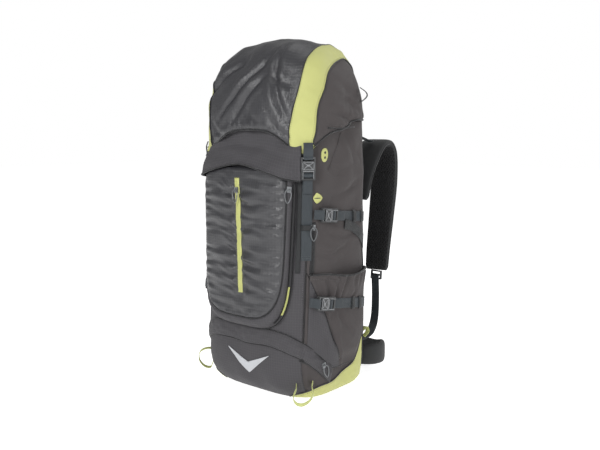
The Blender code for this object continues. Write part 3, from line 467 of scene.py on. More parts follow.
bag_skin = Skin([
    (0.0, HALF - 0.012, FRONT - 0.015, BACK), (0.03, HALF - 0.003, FRONT + 0.006, BACK),
    (0.08, HALF, FRONT + BULGE, BACK), (0.14, HALF, FRONT + 0.011, BACK),
    (0.25, HALF, FRONT + 0.004, BACK), (0.40, HALF - 0.001, FRONT, BACK),
    (RIM, HALF - 0.005, FRONT - 0.003, BACK)], (3.6, 6.0), 0.0, RIM)
LID_HALF, LID_FRONT = HALF + 0.008, FRONT + 0.014
lid_skin = Skin([
    (HINGE_Z - 0.07, LID_HALF - 0.004, LID_FRONT - 0.003, BACK),
    (HINGE_Z - 0.02, LID_HALF, LID_FRONT, BACK),
    (CREST - 0.14, LID_HALF - 0.001, LID_FRONT - 0.002, BACK - 0.002),
    (CREST - 0.10, LID_HALF - 0.008, LID_FRONT - 0.009, BACK - 0.006),
    (CREST - 0.06, LID_HALF - 0.021, LID_FRONT - 0.025, BACK - 0.014),
    (CREST - 0.03, LID_HALF - 0.040, LID_FRONT - 0.045, BACK - 0.026),
    (CREST - 0.01, LID_HALF - 0.065, LID_FRONT - 0.072, BACK - 0.049),
    (CREST, LID_HALF - 0.100, LID_FRONT - 0.097, BACK - 0.074)], (2.8, 4.0), HINGE_Z - 0.07, CREST)


# ---------------------------------------------------------------- mesh builders
def make_mesh(name, verts, faces, materials, uv=None, index=None, body="bag", slot=None, replaces=(),
              flat=False):
    """Build a piece, hide what it replaces, and put it on a body; slot is not used."""
    mesh = bpy.data.meshes.new(name)
    mesh.from_pydata(np.asarray(verts, float).reshape(-1, 3).tolist(), [], faces)
    for key in ([materials] if isinstance(materials, str) else materials):
        mesh.materials.append(MATERIALS[key])
    if index is not None:
        mesh.polygons.foreach_set("material_index", np.asarray(index, np.int32))
    layer = mesh.uv_layers.new(name="cloth")
    loops = np.empty(len(mesh.loops), np.int32)
    mesh.loops.foreach_get("vertex_index", loops)
    if uv is None:
        points = np.asarray(verts, float).reshape(-1, 3)
        uv = points[:, [0, 2]] + points[:, [1, 1]] * (1, 0)
    layer.data.foreach_set("uv", np.asarray(uv, float).reshape(-1, 2)[loops].ravel())
    if not flat:
        mesh.shade_smooth()
    made = bpy.data.objects.new(name, mesh)
    bpy.context.scene.collection.objects.link(made)
    if body:
        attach(made, body)
    if replaces:
        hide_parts(*replaces)
    return made


def grid_faces(rows, columns, closed=False):
    faces = []
    for r in range(rows - 1):
        for c in range(columns if closed else columns - 1):
            d = (c + 1) % columns
            faces.append((r * columns + c, r * columns + d, (r + 1) * columns + d, (r + 1) * columns + c))
    return faces


def ring_faces(low, high, wide):
    """Quads between two rings of vertices that start at low and at high."""
    return [(low + i, low + (i + 1) % wide, high + (i + 1) % wide, high + i) for i in range(wide)]


def end_caps(rows, columns):
    return [tuple(range(columns))[::-1], tuple(range((rows - 1) * columns, rows * columns))]


def grid_uv(points):
    """Cloth coordinates in metres over a grid of points: along its middle row and middle column."""
    rows, columns = points.shape[:2]
    return np.stack(np.meshgrid(run_along(points[rows // 2]), run_along(points[:, columns // 2])), -1)


def bevelled(obj, name, width, segments, degrees):
    bevel = obj.modifiers.new(name, "BEVEL")
    bevel.width, bevel.segments = width, segments
    bevel.limit_method, bevel.angle_limit = "ANGLE", math.radians(degrees)


def normals_of(points, closed=False):
    """Unit normals of a grid of points, from its own shape."""
    if closed:
        across = np.roll(points, -1, 1) - np.roll(points, 1, 1)
    else:
        across = np.gradient(points, axis=1)
    upward = np.gradient(points, axis=0)
    normal = np.cross(across, upward)
    return normal / np.maximum(np.linalg.norm(normal, axis=-1, keepdims=True), 1e-12)


def tree_of(obj):
    mesh = obj.data
    co = np.empty(len(mesh.vertices) * 3)
    mesh.vertices.foreach_get("co", co)
    return BVHTree.FromPolygons([Vector(v) for v in co.reshape(-1, 3)],
                                [tuple(p.vertices) for p in mesh.polygons])


def heights(points, normals, trees, reach=0.05):
    """How far the trees' surfaces stand above points, along normals (0 where nothing is hit)."""
    found = np.zeros(len(points))
    for i, (p, n) in enumerate(zip(points, normals)):
        origin, towards = Vector(p + n * reach), Vector(-n)
        best = -0.02
        for tree in trees:
            hit = tree.ray_cast(origin, towards, reach + 0.03)
            if hit[0] is not None:
                best = max(best, reach - hit[3])
        found[i] = best if best > -0.02 else 0.0
    return found


def soften(values, passes):
    values = np.asarray(values, float).copy()
    for _ in range(passes):
        values[1:-1] = (values[:-2] + 2 * values[1:-1] + values[2:]) / 4
    return values


def square_to(across, path):
    """Unit directions along a path, and the across direction made square to them."""
    tangent = unit(np.gradient(path, axis=0))
    across = np.broadcast_to(np.asarray(across, float), path.shape)
    return tangent, unit(across - tangent * np.sum(across * tangent, 1, keepdims=True))


def sweep(name, path, across, width, thick, material, section=12, power=4.0, **keys):
    """A strap or pad along a path: superelliptic section, width and thick may be arrays."""
    path = np.asarray(path, float)
    count = len(path)
    tangent, across = square_to(across, path)
    face = np.cross(tangent, across)
    width = np.broadcast_to(width, count)[:, None, None] / 2
    thick = np.broadcast_to(thick, count)[:, None, None] / 2
    angle = np.linspace(0, 2 * math.pi, section, endpoint=False) + math.pi / section
    x, y = [(np.sign(c) * np.abs(c) ** (2 / power))[None, :, None] for c in (np.cos(angle), np.sin(angle))]
    points = path[:, None] + across[:, None] * x * width + face[:, None] * y * thick
    faces = grid_faces(count, section, closed=True) + end_caps(count, section)
    uv = np.stack(np.broadcast_arrays((x * width)[..., 0], run_along(path)[:, None]), -1)
    made = make_mesh(name, points, faces, material, uv, **keys)
    recalc(made)
    return made


def recalc(made):
    bm = bmesh.new()
    bm.from_mesh(made.data)
    bmesh.ops.recalc_face_normals(bm, faces=bm.faces)
    bm.to_mesh(made.data)
    bm.free()


def tube(name, path, radius, material, sides=8, closed=False, **keys):
    """A round cord or piping along a path."""
    path = np.asarray(path, float)
    count = len(path)
    tangent = unit((np.roll(path, -1, 0) - np.roll(path, 1, 0)) if closed else np.gradient(path, axis=0))
    side = np.cross(tangent[0], (0.3, 0.5, 0.81))
    frames = []
    for t in tangent:
        side = unit(side - t * (side @ t))
        frames.append((side, np.cross(t, side)))
    angle = np.linspace(0, 2 * math.pi, sides, endpoint=False)
    points = np.array([[p + radius * (a * math.cos(q) + b * math.sin(q)) for q in angle]
                       for p, (a, b) in zip(path, frames)])
    faces = grid_faces(count, sides, closed=True)
    faces += ring_faces((count - 1) * sides, 0, sides) if closed else end_caps(count, sides)
    made = make_mesh(name, points, faces, material, **keys)
    recalc(made)
    return made


def stitches(name, path, normals, **keys):
    """A row of raised stitches along a path, in one mesh."""
    length, gap, width = 0.0028, 0.0014, 0.0007
    run = run_along(path)
    verts, faces = [], []
    at = 0.0
    while at + length < run[-1]:
        ends = [np.array([np.interp(at + d, run, path[:, k]) for k in range(3)]) for d in (0, length)]
        up = np.array([np.interp(at, run, normals[:, k]) for k in range(3)])
        side = unit(np.cross(ends[1] - ends[0], up))
        base = len(verts)
        middle = (ends[0] + ends[1]) / 2
        verts += [ends[0], ends[1], middle + side * width / 2, middle - side * width / 2,
                  middle + up * width * 0.6]
        faces += [(base, base + 2, base + 4), (base + 2, base + 1, base + 4), (base + 1, base + 3, base + 4),
                  (base + 3, base, base + 4), (base, base + 3, base + 1, base + 2)]
        at += length + gap
    made = make_mesh(name, verts, faces, "thread", **keys)
    recalc(made)
    return made


# ---------------------------------------------------------------- overlays on a skin
def lid_edge(s, y):
    """The lid's lower edge: an arch in front, tips at the front corners, level behind."""
    tip = np.exp(-(((np.abs(s) - CORNER + 0.006) / 0.045) ** 2))
    drop = 0.020 + 0.043 * tip + 0.012 * np.exp(-(((s + 0.070) / 0.034) ** 2))
    return HINGE_Z - drop * (1 - step(y - SHIFT, -0.02, 0.04))


class Base:
    """A displaced cloth surface that later pieces are laid on."""

    def __init__(self, skin, trees):
        self.skin, self.trees = skin, trees

    def stand(self, point, normal):
        """How far the cloth stands above each of the skin's points."""
        return heights(point.reshape(-1, 3), normal.reshape(-1, 3), self.trees).reshape(point.shape[:-1])

    def ribbon(self, name, path, width, thick, material, lift=0.0006, count=None, slot="webbing", **keys):
        """Webbing laid along a (girth, height) path, bridging the small dips under it."""
        path = np.asarray(path, float)
        line = smooth_path(path, count or max(8, int(length_of(path) / SEAM_STEP)))
        spots = spread_across(line, np.linspace(-0.5, 0.5, 5) * width)
        base, normal = self.skin.at(spots[..., 0], spots[..., 1])
        rise = self.stand(base, normal)
        level = soften(np.maximum(rise.max(1), soften(rise.max(1), 6)), 2)[:, None]
        rise = np.maximum(0.35 * rise + 0.65 * level, level - 0.0015)
        low = base + normal * (rise + lift)[..., None]
        high = base + normal * (rise + lift + thick)[..., None]
        return strap_mesh(name, low, high, material, slot=slot, **keys)


def spread_across(line, offsets):
    """Spots at offsets to the side of each point of a (girth, height) line."""
    run = unit(np.gradient(line, axis=0))
    return line[:, None] + np.stack([run[:, 1], -run[:, 0]], 1)[:, None] * offsets[None, :, None]


def strap_mesh(name, low, high, material, **keys):
    """Closed flat strap from its underside and top grids (rows along, columns across)."""
    rows, columns = low.shape[:2]
    ring = np.concatenate([high, low[:, ::-1]], 1)
    around = 2 * columns
    faces = grid_faces(rows, around, closed=True) + end_caps(rows, around)
    run = run_along(high[:, columns // 2])
    wide = np.linalg.norm(high[rows // 2, -1] - high[rows // 2, 0])
    across = np.concatenate([np.linspace(0, wide, columns), np.linspace(wide, 0, columns)])
    uv = np.stack(np.meshgrid(across, run), -1)
    made = make_mesh(name, ring, faces, material, uv, **keys)
    recalc(made)
    bevelled(made, "edge", 0.0004, 2, 50)
    return made


def patch(name, base, s, z, material, lift, thick, **keys):
    """Closed cloth patch over grids of s and z, laid on a base."""
    point, normal = base.skin.at(s, z)
    rise = base.stand(point, normal) + lift
    return slab(name, point + normal * rise[..., None], point + normal * (rise - thick)[..., None], material,
                **keys)


def slab(name, top, bottom, material, **keys):
    """Closed slab between two grids of the same shape."""
    rows, columns = top.shape[:2]
    verts = np.concatenate([top.reshape(-1, 3), bottom.reshape(-1, 3)])
    layer = rows * columns
    faces = grid_faces(rows, columns)
    faces += [tuple(layer + i for i in face[::-1]) for face in faces]
    border = ([c for c in range(columns)] + [(r + 1) * columns - 1 for r in range(1, rows)]
              + [(rows - 1) * columns + c for c in range(columns - 2, -1, -1)]
              + [r * columns for r in range(rows - 2, 0, -1)])
    faces += [(b, a, layer + a, layer + b) for a, b in zip(border, border[1:] + border[:1])]
    uv = grid_uv(top)
    made = make_mesh(name, verts, faces, material, np.concatenate([uv.reshape(-1, 2)] * 2), **keys)
    recalc(made)
    return made


# ---------------------------------------------------------------- main bag cloth
def bag_relief(s, z):
    """How the bag's cloth stands in and out: seams, folds and soft dents, in metres."""
    a = np.abs(s)
    rise = 0.0024 * ripple(3, s, z, 0.085, 1.4) + 0.0004 * ripple(5, s, z, 0.036, 1.3)
    rise += 0.0001 * ripple(8, s, z, 0.013)
    rise -= 0.0022 * np.exp(-(((a - CORNER) / 0.0028) ** 2)) * (z < 0.50)
    rise += 0.0012 * np.exp(-(((a - CORNER - 0.008) / 0.005) ** 2))
    side = step(a, CORNER + 0.005, CORNER + 0.03)
    # Pulls that run from the buckles and the back seam over the side panel.
    for path, depth, width in (
            ([(0.20, 0.405), (0.24, 0.415), (0.30, 0.44)], 0.0035, 0.007),
            ([(0.19, 0.34), (0.23, 0.325), (0.29, 0.33)], 0.0030, 0.006),
            ([(0.16, 0.30), (0.20, 0.29), (0.26, 0.315)], 0.0026, 0.006),
            ([(0.17, 0.47), (0.22, 0.455), (0.27, 0.475)], 0.0028, 0.008),
            ([(0.24, 0.53), (0.27, 0.49), (0.31, 0.47)], 0.0028, 0.008),
            ([(0.15, 0.10), (0.19, 0.085), (0.25, 0.075)], 0.0020, 0.005)):
        rise += crease(a, z, path, depth, width) * side
    # The front sags between the pocket and the corner straps.
    rise += crease(a, z, [(0.124, 0.44), (0.127, 0.34), (0.125, 0.20)], 0.0018, 0.005)
    rise += 0.0012 * ripple(11, a, z, 0.11, 0.5) * step(a, 0.15, 0.2) * (1 - step(a, 0.29, 0.32))
    # Nothing stands out at the floor, at the back edge and under the rim.
    calm = step(z, 0.004, 0.03) * (1 - 0.75 * step(z, RIM - 0.02, RIM))
    behind = step(bag_skin.half_girth(z) - a, 0.05, 0.14)
    return (rise * (0.25 + 0.75 * behind) - 0.0004) * calm


def make_bag():
    rows, columns = 150, 420
    z = np.concatenate([np.linspace(0.0, 0.03, 10)[:-1], np.linspace(0.03, RIM, rows)])[:, None]
    share = np.linspace(-1, 1, columns, endpoint=False)[None, :]
    s = share * bag_skin.half_girth(z[:, 0])[:, None]
    z = np.broadcast_to(z, s.shape)
    point, _ = bag_skin.at(s, z, bag_relief(s, z))
    # Round the foot of the bag inwards, so it sits softly on the floor.
    foot = np.clip(1 - z / 0.014, 0, 1)
    shrink = 1 - 0.035 * foot**2
    point[..., 0] *= shrink
    point[..., 1] = (point[..., 1] - SHIFT) * shrink + SHIFT
    point[..., 2] = np.where(z <= 0, FLOOR_GAP, point[..., 2])
    count, wide = point.shape[0], columns
    verts = point.reshape(-1, 3).tolist()
    uv = np.stack([s, z], -1).reshape(-1, 2).tolist()
    faces = grid_faces(count, wide, closed=True)
    # The floor and the turned-in wall at the rim.
    previous = 0
    for shrunk in (0.8, 0.5, 0.2):
        start = len(verts)
        for p in point[0]:
            verts.append((p[0] * shrunk, (p[1] - SHIFT) * shrunk + SHIFT, FLOOR_GAP))
            uv.append((p[0] * shrunk, p[1] * shrunk))
        faces += ring_faces(start, previous, wide)
        previous = start
    faces.append(tuple(range(previous, previous + wide))[::-1])
    previous = (count - 1) * wide
    inner_s = share * bag_skin.half_girth(RIM)
    for depth, lift in ((0.0, -0.003), (0.05, -0.0032), (0.25, -0.0034), (0.50, -0.0034), (0.548, -0.006)):
        start = len(verts)
        ring, _ = bag_skin.at(share[0] * bag_skin.half_girth(RIM - depth), np.full(wide, RIM - depth), lift)
        verts += ring.tolist()
        uv += [(a, RIM + depth) for a in inner_s[0]]
        faces += ring_faces(previous, start, wide)
        previous = start
    faces.append(tuple(range(previous, previous + wide)))
    made = make_mesh("bag_fabric", verts, faces, "side", uv, slot="side_fabric", replaces=("main_bag",))
    recalc(made)
    perimeter = 2 * bag_skin.half_girth(0.3)
    area_of(made) / 2 / perimeter
    return made


def area_of(made):
    bm = bmesh.new()
    bm.from_mesh(made.data)
    area = sum(face.calc_area() for face in bm.faces)
    bm.free()
    return area


bag = make_bag()
bag_tree = tree_of(bag)
on_bag = Base(bag_skin, [bag_tree])


def mirrored(table, rise=0.0):
    """A path over both sides from a table of (girth, height) on one side."""
    return sided(-1, table[:0:-1], rise) + sided(1, table, rise)


def upright(girth, *levels):
    return [(girth, level) for level in levels]


def sided(sign, path, rise=0.0):
    return [(sign * a, b + rise) for a, b in path]


def seam_line(name, path, base, lift=0.0010, radius=0.0011, material="piping", **keys):
    """Piping or a rolled seam laid along a (girth, height) path."""
    line = smooth_path(path, max(8, int(length_of(path) / SEAM_STEP)))
    point, normal = base.skin.at(line[:, 0], line[:, 1])
    rise = soften(heights(point, normal, base.trees), 2)
    return tube(name, point + normal * (rise + lift)[:, None], radius, material, 6, slot="dark_fabric",
                **keys)


def stitch_line(name, path, base, lift=0.0002, **keys):
    line = smooth_path(path, max(8, int(length_of(path) / STITCH_STEP)))
    point, normal = base.skin.at(line[:, 0], line[:, 1])
    rise = heights(point, normal, base.trees)
    return stitches(name, point + normal * (rise + lift)[:, None], normal, slot="dark_fabric", **keys)


# ---------------------------------------------------------------- front, base and flap panels
u, v = unit_grid(120, 170, 0.0)
FRONT_LEFT, FRONT_RIGHT, FRONT_LOW, FRONT_HIGH = -CORNER + 0.001, CORNER - 0.001, 0.003, RIM - 0.004
front_panel = patch("front_cloth", on_bag, FRONT_LEFT + (FRONT_RIGHT - FRONT_LEFT) * u + 0 * v,
                    FRONT_LOW + (FRONT_HIGH - FRONT_LOW) * v + 0 * u, "dark", 0.0006, 0.0011,
                    slot="dark_fabric")
area_of(front_panel) / 4 / CORNER
on_front = Base(bag_skin, [bag_tree, tree_of(front_panel)])

BASE_EDGE = [(0.092, 0.002), (0.108, 0.010), (0.136, 0.018), (0.168, 0.027), (0.20, 0.030), (0.224, 0.036),
             (0.26, 0.047), (0.284, 0.058), (0.30, 0.078), (0.312, 0.100), (0.330, 0.112)]
for side, sign in SIDES:
    edge = np.array(BASE_EDGE)
    rows, columns = 26, 130
    girth = np.linspace(0.093, 0.333, columns)
    top = hermite(girth, edge[:, 0], edge[:, 1])
    v = np.linspace(0, 1, rows)[:, None]
    z = 0.0012 + (top - 0.0012) * v
    s = sign * (girth + 0 * v)
    panel = patch("base_panel_" + side, on_front, s, z, "lime",
                  0.0009 + 0.0004 * ripple(21, s, z, 0.02), 0.0012, slot="lime_fabric")
    area_of(panel) / 2 / 0.24
    seam_line("base_seam_" + side, sided(sign, BASE_EDGE), on_front, 0.0012, 0.0013, "dark")
    stitch_line("base_stitch_" + side, sided(sign, BASE_EDGE[1:], -0.0045), on_front, 0.0012)


FLAP_HALF = 0.197
FLAP_LOW = [(0.0, 0.107), (0.068, 0.109), (0.128, 0.094), (0.160, 0.070), (0.180, 0.050), (FLAP_HALF, 0.030)]
FLAP_HIGH = [(0.0, 0.143), (0.060, 0.143), (0.100, 0.139), (0.136, 0.124), (0.166, 0.103), (0.186, 0.086),
             (0.210, 0.062)]


def along(table):
    table = np.array(table)
    return lambda s: hermite(np.abs(s), table[:, 0], table[:, 1])


def flap_relief(s, z):
    low, high = along(FLAP_LOW)(s), along(FLAP_HIGH)(s)
    v = (z - low) / (high - low)
    puffed = np.sin(math.pi * np.clip(v, 0, 1)) ** 0.6
    return 0.0042 * puffed + 0.0007 * ripple(31, s, z, 0.03, 0.5) * puffed


def make_flap():
    u, v = unit_grid(220, 18)
    s = FLAP_HALF * u * (1 + 0.06 * v)
    z = along(FLAP_LOW)(s) * (1 - v) + along(FLAP_HIGH)(s) * v
    made = patch("bottom_flap_cloth", on_front, s, z, "dark", 0.0012 + flap_relief(s, z), 0.0016,
                 slot="dark_fabric",
                 replaces=("bottom_flap",))
    area_of(made) / 2 / 0.40
    for name, table in (("low", FLAP_LOW), ("high", FLAP_HIGH)):
        seam_line(f"flap_seam_{name}", mirrored(table), on_front, 0.0016, 0.0010)
    on_flap = Base(bag_skin, [bag_tree, tree_of(front_panel), tree_of(made)])
    stitch_line("flap_stitch", mirrored(FLAP_LOW, 0.006), on_flap)


make_flap()


# ---------------------------------------------------------------- front pocket
POCKET_BOTTOM, POCKET_TOP = 0.143, RIM - 0.080
ZIP_TOP = RIM - 0.114
POCKET_HALF = CORNER - 0.020
POCKET_DEPTH, POCKET_TAPER = 0.028, 0.010
POCKET_RISE = [(0.0, 0.03), (0.0012, 0.22), (0.003, 0.45), (0.008, 0.74), (0.016, 0.93), (0.026, 1.0),
               (0.075, 1.0),
               (0.12, 1.0)]


def gloss_inset(angle):
    """Width of the matte gusset round the glossy panel: widest below."""
    below = np.clip(-np.sin(angle), 0, 1)
    return 0.0105 + 0.0135 * below**1.5


def pocket_stand(inset):
    """How far the pocket's plain wall stands off the bag at a distance inside its outline."""
    table = np.array(POCKET_RISE)
    return POCKET_DEPTH * hermite(inset, table[:, 0], table[:, 1])


def pocket_dip(z):
    """The pocket sinks towards its top, under the hood."""
    return 1 - 0.45 * step(z, 0.460, 0.482)


def pocket_place(angle, inset):
    c, s = np.cos(angle), np.sin(angle)
    power = 2 / np.where(s < 0, 4.2, 9.0)
    middle = (POCKET_TOP + POCKET_BOTTOM) / 2
    tall = np.maximum((POCKET_TOP - POCKET_BOTTOM) / 2 - inset, 0)
    wide = np.maximum(POCKET_HALF - inset, 0.0)
    height = np.sign(s) * np.abs(s) ** power
    # The pocket narrows downwards.
    half = wide - POCKET_TAPER * (1 - height) / 2 * wide / POCKET_HALF
    return np.sign(c) * np.abs(c) ** power * half, middle + tall * height


def zip_line(z):
    """Girth of the front zip's middle at a height."""
    return np.interp(z, (0.216, ZIP_TOP), (0.008, -0.004))


def pocket_relief(s, z, inset, seam):
    """Puckers each side of the zip, drag folds and fullness of the glossy panel inside its seam."""
    across = s - zip_line(z)
    gap = np.abs(across)
    body = step(inset, seam, seam + 0.020)
    side = np.where(across > 0, 1.0, -1.0)
    fade = step(gap, 0.006, 0.018)
    tall = step(z, 0.19, 0.24) * (1 - step(z, 0.425, 0.45))
    wander = 0.006 * ripple(41, s, z, 0.09)
    rise = 0.0
    for seed, pitch, size, reach in ((42, 0.024, 0.0029, 0.055), (43, 0.013, 0.0012, 0.035),
                                     (44, 0.040, 0.0030, 0.10)):
        draw = np.random.default_rng(seed)
        tilt = draw.uniform(-0.35, 0.35, 2)
        wave = np.sin(2 * math.pi / pitch * (z + wander + gap * np.where(across > 0, tilt[0], tilt[1]))
                      + np.where(across > 0, 0.7, 2.4))
        size_here = 0.6 + 0.4 * ripple(seed + 9, s, z, 0.12)
        rise = rise + size * wave * size_here * np.exp(-(gap - 0.01) / reach)
    # The panel's far edge is gathered too, with short folds that start at its seam.
    edge = np.exp(-(((inset - seam) / 0.022) ** 2)) * step(inset, seam - 0.001, seam + 0.006)
    rise = rise + 0.0026 * edge * np.sin(2 * math.pi / 0.016 * (z + 0.5 * wander) + side)
    rise = rise * fade * (0.25 + 0.75 * tall)
    rise += 0.0030 * np.exp(-(((gap - 0.045) / 0.032) ** 2)) * tall
    rise += 0.0012 * ripple(47, s, z, 0.05, 0.6)
    groove = -0.0030 * np.exp(-(((inset - seam) / 0.0018) ** 2))
    gusset = 0.0007 * ripple(48, s, z, 0.02) * (1 - body)
    gusset += 0.0016 * np.exp(-(((inset - 0.6 * seam) / (0.3 * seam)) ** 2))
    return rise * body + groove + gusset - 0.0016 * np.exp(-((gap / 0.010) ** 2)) * body


def make_pocket():
    around = 420
    shares = np.concatenate([np.linspace(0, 0.4, 8)[:-1], np.linspace(0.4, 1.0, 16)[:-1],
                             np.linspace(1.0, 1.5, 12)[:-1],
                             np.linspace(1.5, 6.0, 56)])
    angle = np.linspace(0, 2 * math.pi, 2400, endpoint=False)
    s0, z0 = pocket_place(angle, 0.02)
    run = np.concatenate([[0], np.cumsum(np.hypot(np.diff(s0), np.diff(z0)))])
    angle = np.interp(np.linspace(0, run[-1], around, endpoint=False), run, angle)
    seam = gloss_inset(angle)[None, :]
    beyond = np.clip((shares[:, None] - 1) / 5, 0, 1)
    inset = np.where(shares[:, None] < 1, shares[:, None] * seam,
                     seam + (POCKET_HALF - 0.0005 - seam) * beyond)
    s, z = pocket_place(angle[None, :], inset)
    lift = 0.0008 + (pocket_stand(inset) + pocket_relief(s, z, inset, seam)) * pocket_dip(z)
    point, _ = bag_skin.at(s, z, lift)
    faces = grid_faces(len(shares), around, closed=True)
    index = [0 if shares[f[0] // around] < 0.99 else 1 for f in faces]
    # The zip hides the line where the rings meet.
    made = make_mesh("front_pocket_cloth", point, faces, ("dark", "gloss"), np.stack([s, z], -1), index=index,
                     slot="gloss_fabric", replaces=("front_pocket",))
    recalc(made)
    if sum(p.normal.y for p in made.data.polygons) > 0:
        made.data.flip_normals()
    area_of(made) / 0.29
    ring_s, ring_z = pocket_place(angle, seam[0])
    ring_lift = (pocket_stand(seam[0]) - 0.0020) * pocket_dip(ring_z) + 0.0008
    ring, _ = bag_skin.at(ring_s, ring_z, ring_lift)
    tube("pocket_piping", ring, 0.0014, "piping", 6, closed=True, slot="dark_fabric")
    row = int(np.argmin(np.abs(shares - 0.72)))
    ring, normal = point[row], -normals_of(point, True)[row]
    stitches("pocket_stitch", ring + normal * 0.0001, normal, slot="dark_fabric")
    ring_s, ring_z = pocket_place(angle, -0.0006)
    ring, _ = bag_skin.at(ring_s, ring_z, 0.0016)
    tube("pocket_foot_seam", ring, 0.0012, "piping", 6, closed=True, slot="dark_fabric")
    return made


pocket = make_pocket()
on_pocket = Base(bag_skin, [bag_tree, tree_of(front_panel), tree_of(pocket)])


def make_coil_zip(name, path, lift, width, base, tape="lime", coil="coil", slot="lime_fabric", replaces=()):
    """Zip tape with a raised lip each side of a row of coil teeth."""
    count = max(12, int(length_of(path) / ZIP_STEP))
    offsets = np.linspace(-0.5, 0.5, 11) * width
    spots = spread_across(smooth_path(path, count), offsets)
    point, normal = bag_skin.at(spots[..., 0], spots[..., 1])
    middle = soften(heights(point[:, 5], normal[:, 5], base.trees), 8)
    lips = 0.0011 * np.exp(-(((np.abs(offsets) - 0.0022) / 0.0012) ** 2))
    rise = middle[:, None] + lift + lips[None, :] + 0 * spots[..., 0]
    top = point + normal * rise[..., None]
    bottom = point + normal * (rise - 0.0014)[..., None]
    slab(name, top, bottom, tape, slot=slot, replaces=replaces)
    teeth, faces = [], []
    for k in np.arange(0, count - 1, 0.45):
        i = int(k)
        f = k - i
        c = top[i, 5] * (1 - f) + top[i + 1, 5] * f
        n, a = normal[i, 5], unit(top[i + 1, 5] - top[i, 5])
        w = np.cross(n, a)
        base_i = len(teeth)
        for x, y, h in ((-1, -1, 0), (1, -1, 0), (1, 1, 0), (-1, 1, 0), (-0.7, -0.6, 1), (0.7, -0.6, 1),
                        (0.7, 0.6, 1),
                        (-0.7, 0.6, 1)):
            teeth.append(c + w * x * 0.0016 + a * y * 0.00055 + n * (h * 0.0009 - 0.0003))
        faces += [tuple(base_i + q for q in f4) for f4 in
                  ((0, 3, 2, 1), (4, 5, 6, 7), (0, 1, 5, 4), (1, 2, 6, 5), (2, 3, 7, 6), (3, 0, 4, 7))]
    make_mesh(name + "_teeth", teeth, faces, coil, slot=slot, flat=True)


make_coil_zip("front_zip_tape", [(-0.004, ZIP_TOP), (0.002, 0.33), (0.008, 0.216)], 0.0012, 0.0125,
              on_pocket, replaces=("front_zip",))


# ---------------------------------------------------------------- hood panel under the lid
HOOD_HALF = 0.126
HOOD_LOW = [(0.0, 0.474), (0.030, 0.470), (0.076, 0.458), (0.110, 0.446), (HOOD_HALF, 0.442)]


def make_hood():
    u, v = unit_grid(130, 44)
    s = HOOD_HALF * u + 0 * v
    low = along(HOOD_LOW)(s)
    z = low + (RIM - 0.010 - low) * v
    under = 1 - step(z, 0.452, 0.524)
    edge = 1 - 0.74 * step(np.abs(s), 0.100, HOOD_HALF)
    lift = 0.0030 + (0.0305 * under * edge)
    lift += 0.0030 * np.sin(math.pi * np.clip(v, 0, 1)) + 0.0012 * ripple(51, s, z, 0.06, 0.5)
    lift += 0.0020 * np.exp(-((v / 0.05) ** 2))
    lift += crease(s, z, [(-0.10, 0.50), (-0.03, 0.512), (0.05, 0.505), (0.11, 0.485)], 0.0016, 0.006)
    point, normal = bag_skin.at(s, z)
    top = point + normal * lift[..., None]
    bottom = point + normal * (lift - 0.0016)[..., None]
    made = slab("hood_cloth", top, bottom, "dark", slot="dark_fabric")
    area_of(made) / 2 / 0.25
    tube("hood_piping", top[0] + normal[0] * 0.0002, 0.0016, "piping", 6, slot="dark_fabric")
    stitches("hood_stitch", top[3] + normal[3] * 0.0002, normal[3], slot="dark_fabric")


make_hood()


# ---------------------------------------------------------------- lid
LID_ROWS, LID_COLUMNS = 130, 460
GLOSS_HALF, GLOSS_BACK = 0.122, 0.076  # the lid's glossy panel: half its width, and where it ends behind
LID_FOLDS = (
    ([(0.045, 0.690), (-0.004, 0.635), (-0.050, 0.590), (-0.075, 0.560)], 0.0046, 0.0065),
    ([(0.045, 0.645), (0.000, 0.600), (-0.030, 0.560)], 0.0034, 0.0060),
    ([(-0.024, 0.685), (-0.085, 0.640), (-0.145, 0.600)], 0.0046, 0.0070),
    ([(-0.080, 0.700), (-0.120, 0.655), (-0.150, 0.590)], 0.0030, 0.0060),
    ([(0.060, 0.700), (0.066, 0.645), (0.084, 0.595), (0.104, 0.560)], 0.0050, 0.0070),
    ([(0.030, 0.668), (0.062, 0.640), (0.105, 0.625)], 0.0022, 0.0060),
    ([(0.070, 0.560), (0.085, 0.540), (0.106, 0.528)], 0.0028, 0.0050),
    ([(-0.10, 0.560), (-0.085, 0.535), (-0.05, 0.528)], 0.0020, 0.0050),
    ([(0.000, 0.590), (0.020, 0.565), (0.045, 0.550)], 0.0016, 0.0070),
    ([(0.20, 0.575), (0.235, 0.566), (0.29, 0.548)], 0.0038, 0.0060),
    ([(0.21, 0.600), (0.25, 0.598), (0.30, 0.570)], 0.0024, 0.0070),
    ([(0.19, 0.640), (0.23, 0.625), (0.29, 0.600)], 0.0018, 0.0070),
    ([(-0.20, 0.575), (-0.235, 0.566), (-0.29, 0.548)], 0.0034, 0.0060),
    ([(-0.20, 0.620), (-0.25, 0.610), (-0.30, 0.580)], 0.0020, 0.0070),
)


def lid_relief(s, z, edge):
    rise = 0.0036 * ripple(61, s, z, 0.10, 1.0) + 0.0006 * ripple(62, s, z, 0.040, 1.4)
    rise += 0.0001 * ripple(63, s, z, 0.014)
    for path, depth, width in LID_FOLDS:
        rise += crease(s, z, path, depth, width)
    up = z - edge
    # The hem is gathered on piping: short puckers that fade upwards.
    pucker = np.sin(2 * math.pi * s / 0.017 + 2.0 * ripple(64, s, z, 0.06))
    rise += 0.0010 * pucker * np.exp(-up / 0.016) * step(up, 0.002, 0.006)
    rise += 0.0016 * np.exp(-(((up - 0.010) / 0.007) ** 2)) - 0.0012 * np.exp(-((up / 0.003) ** 2))
    return rise


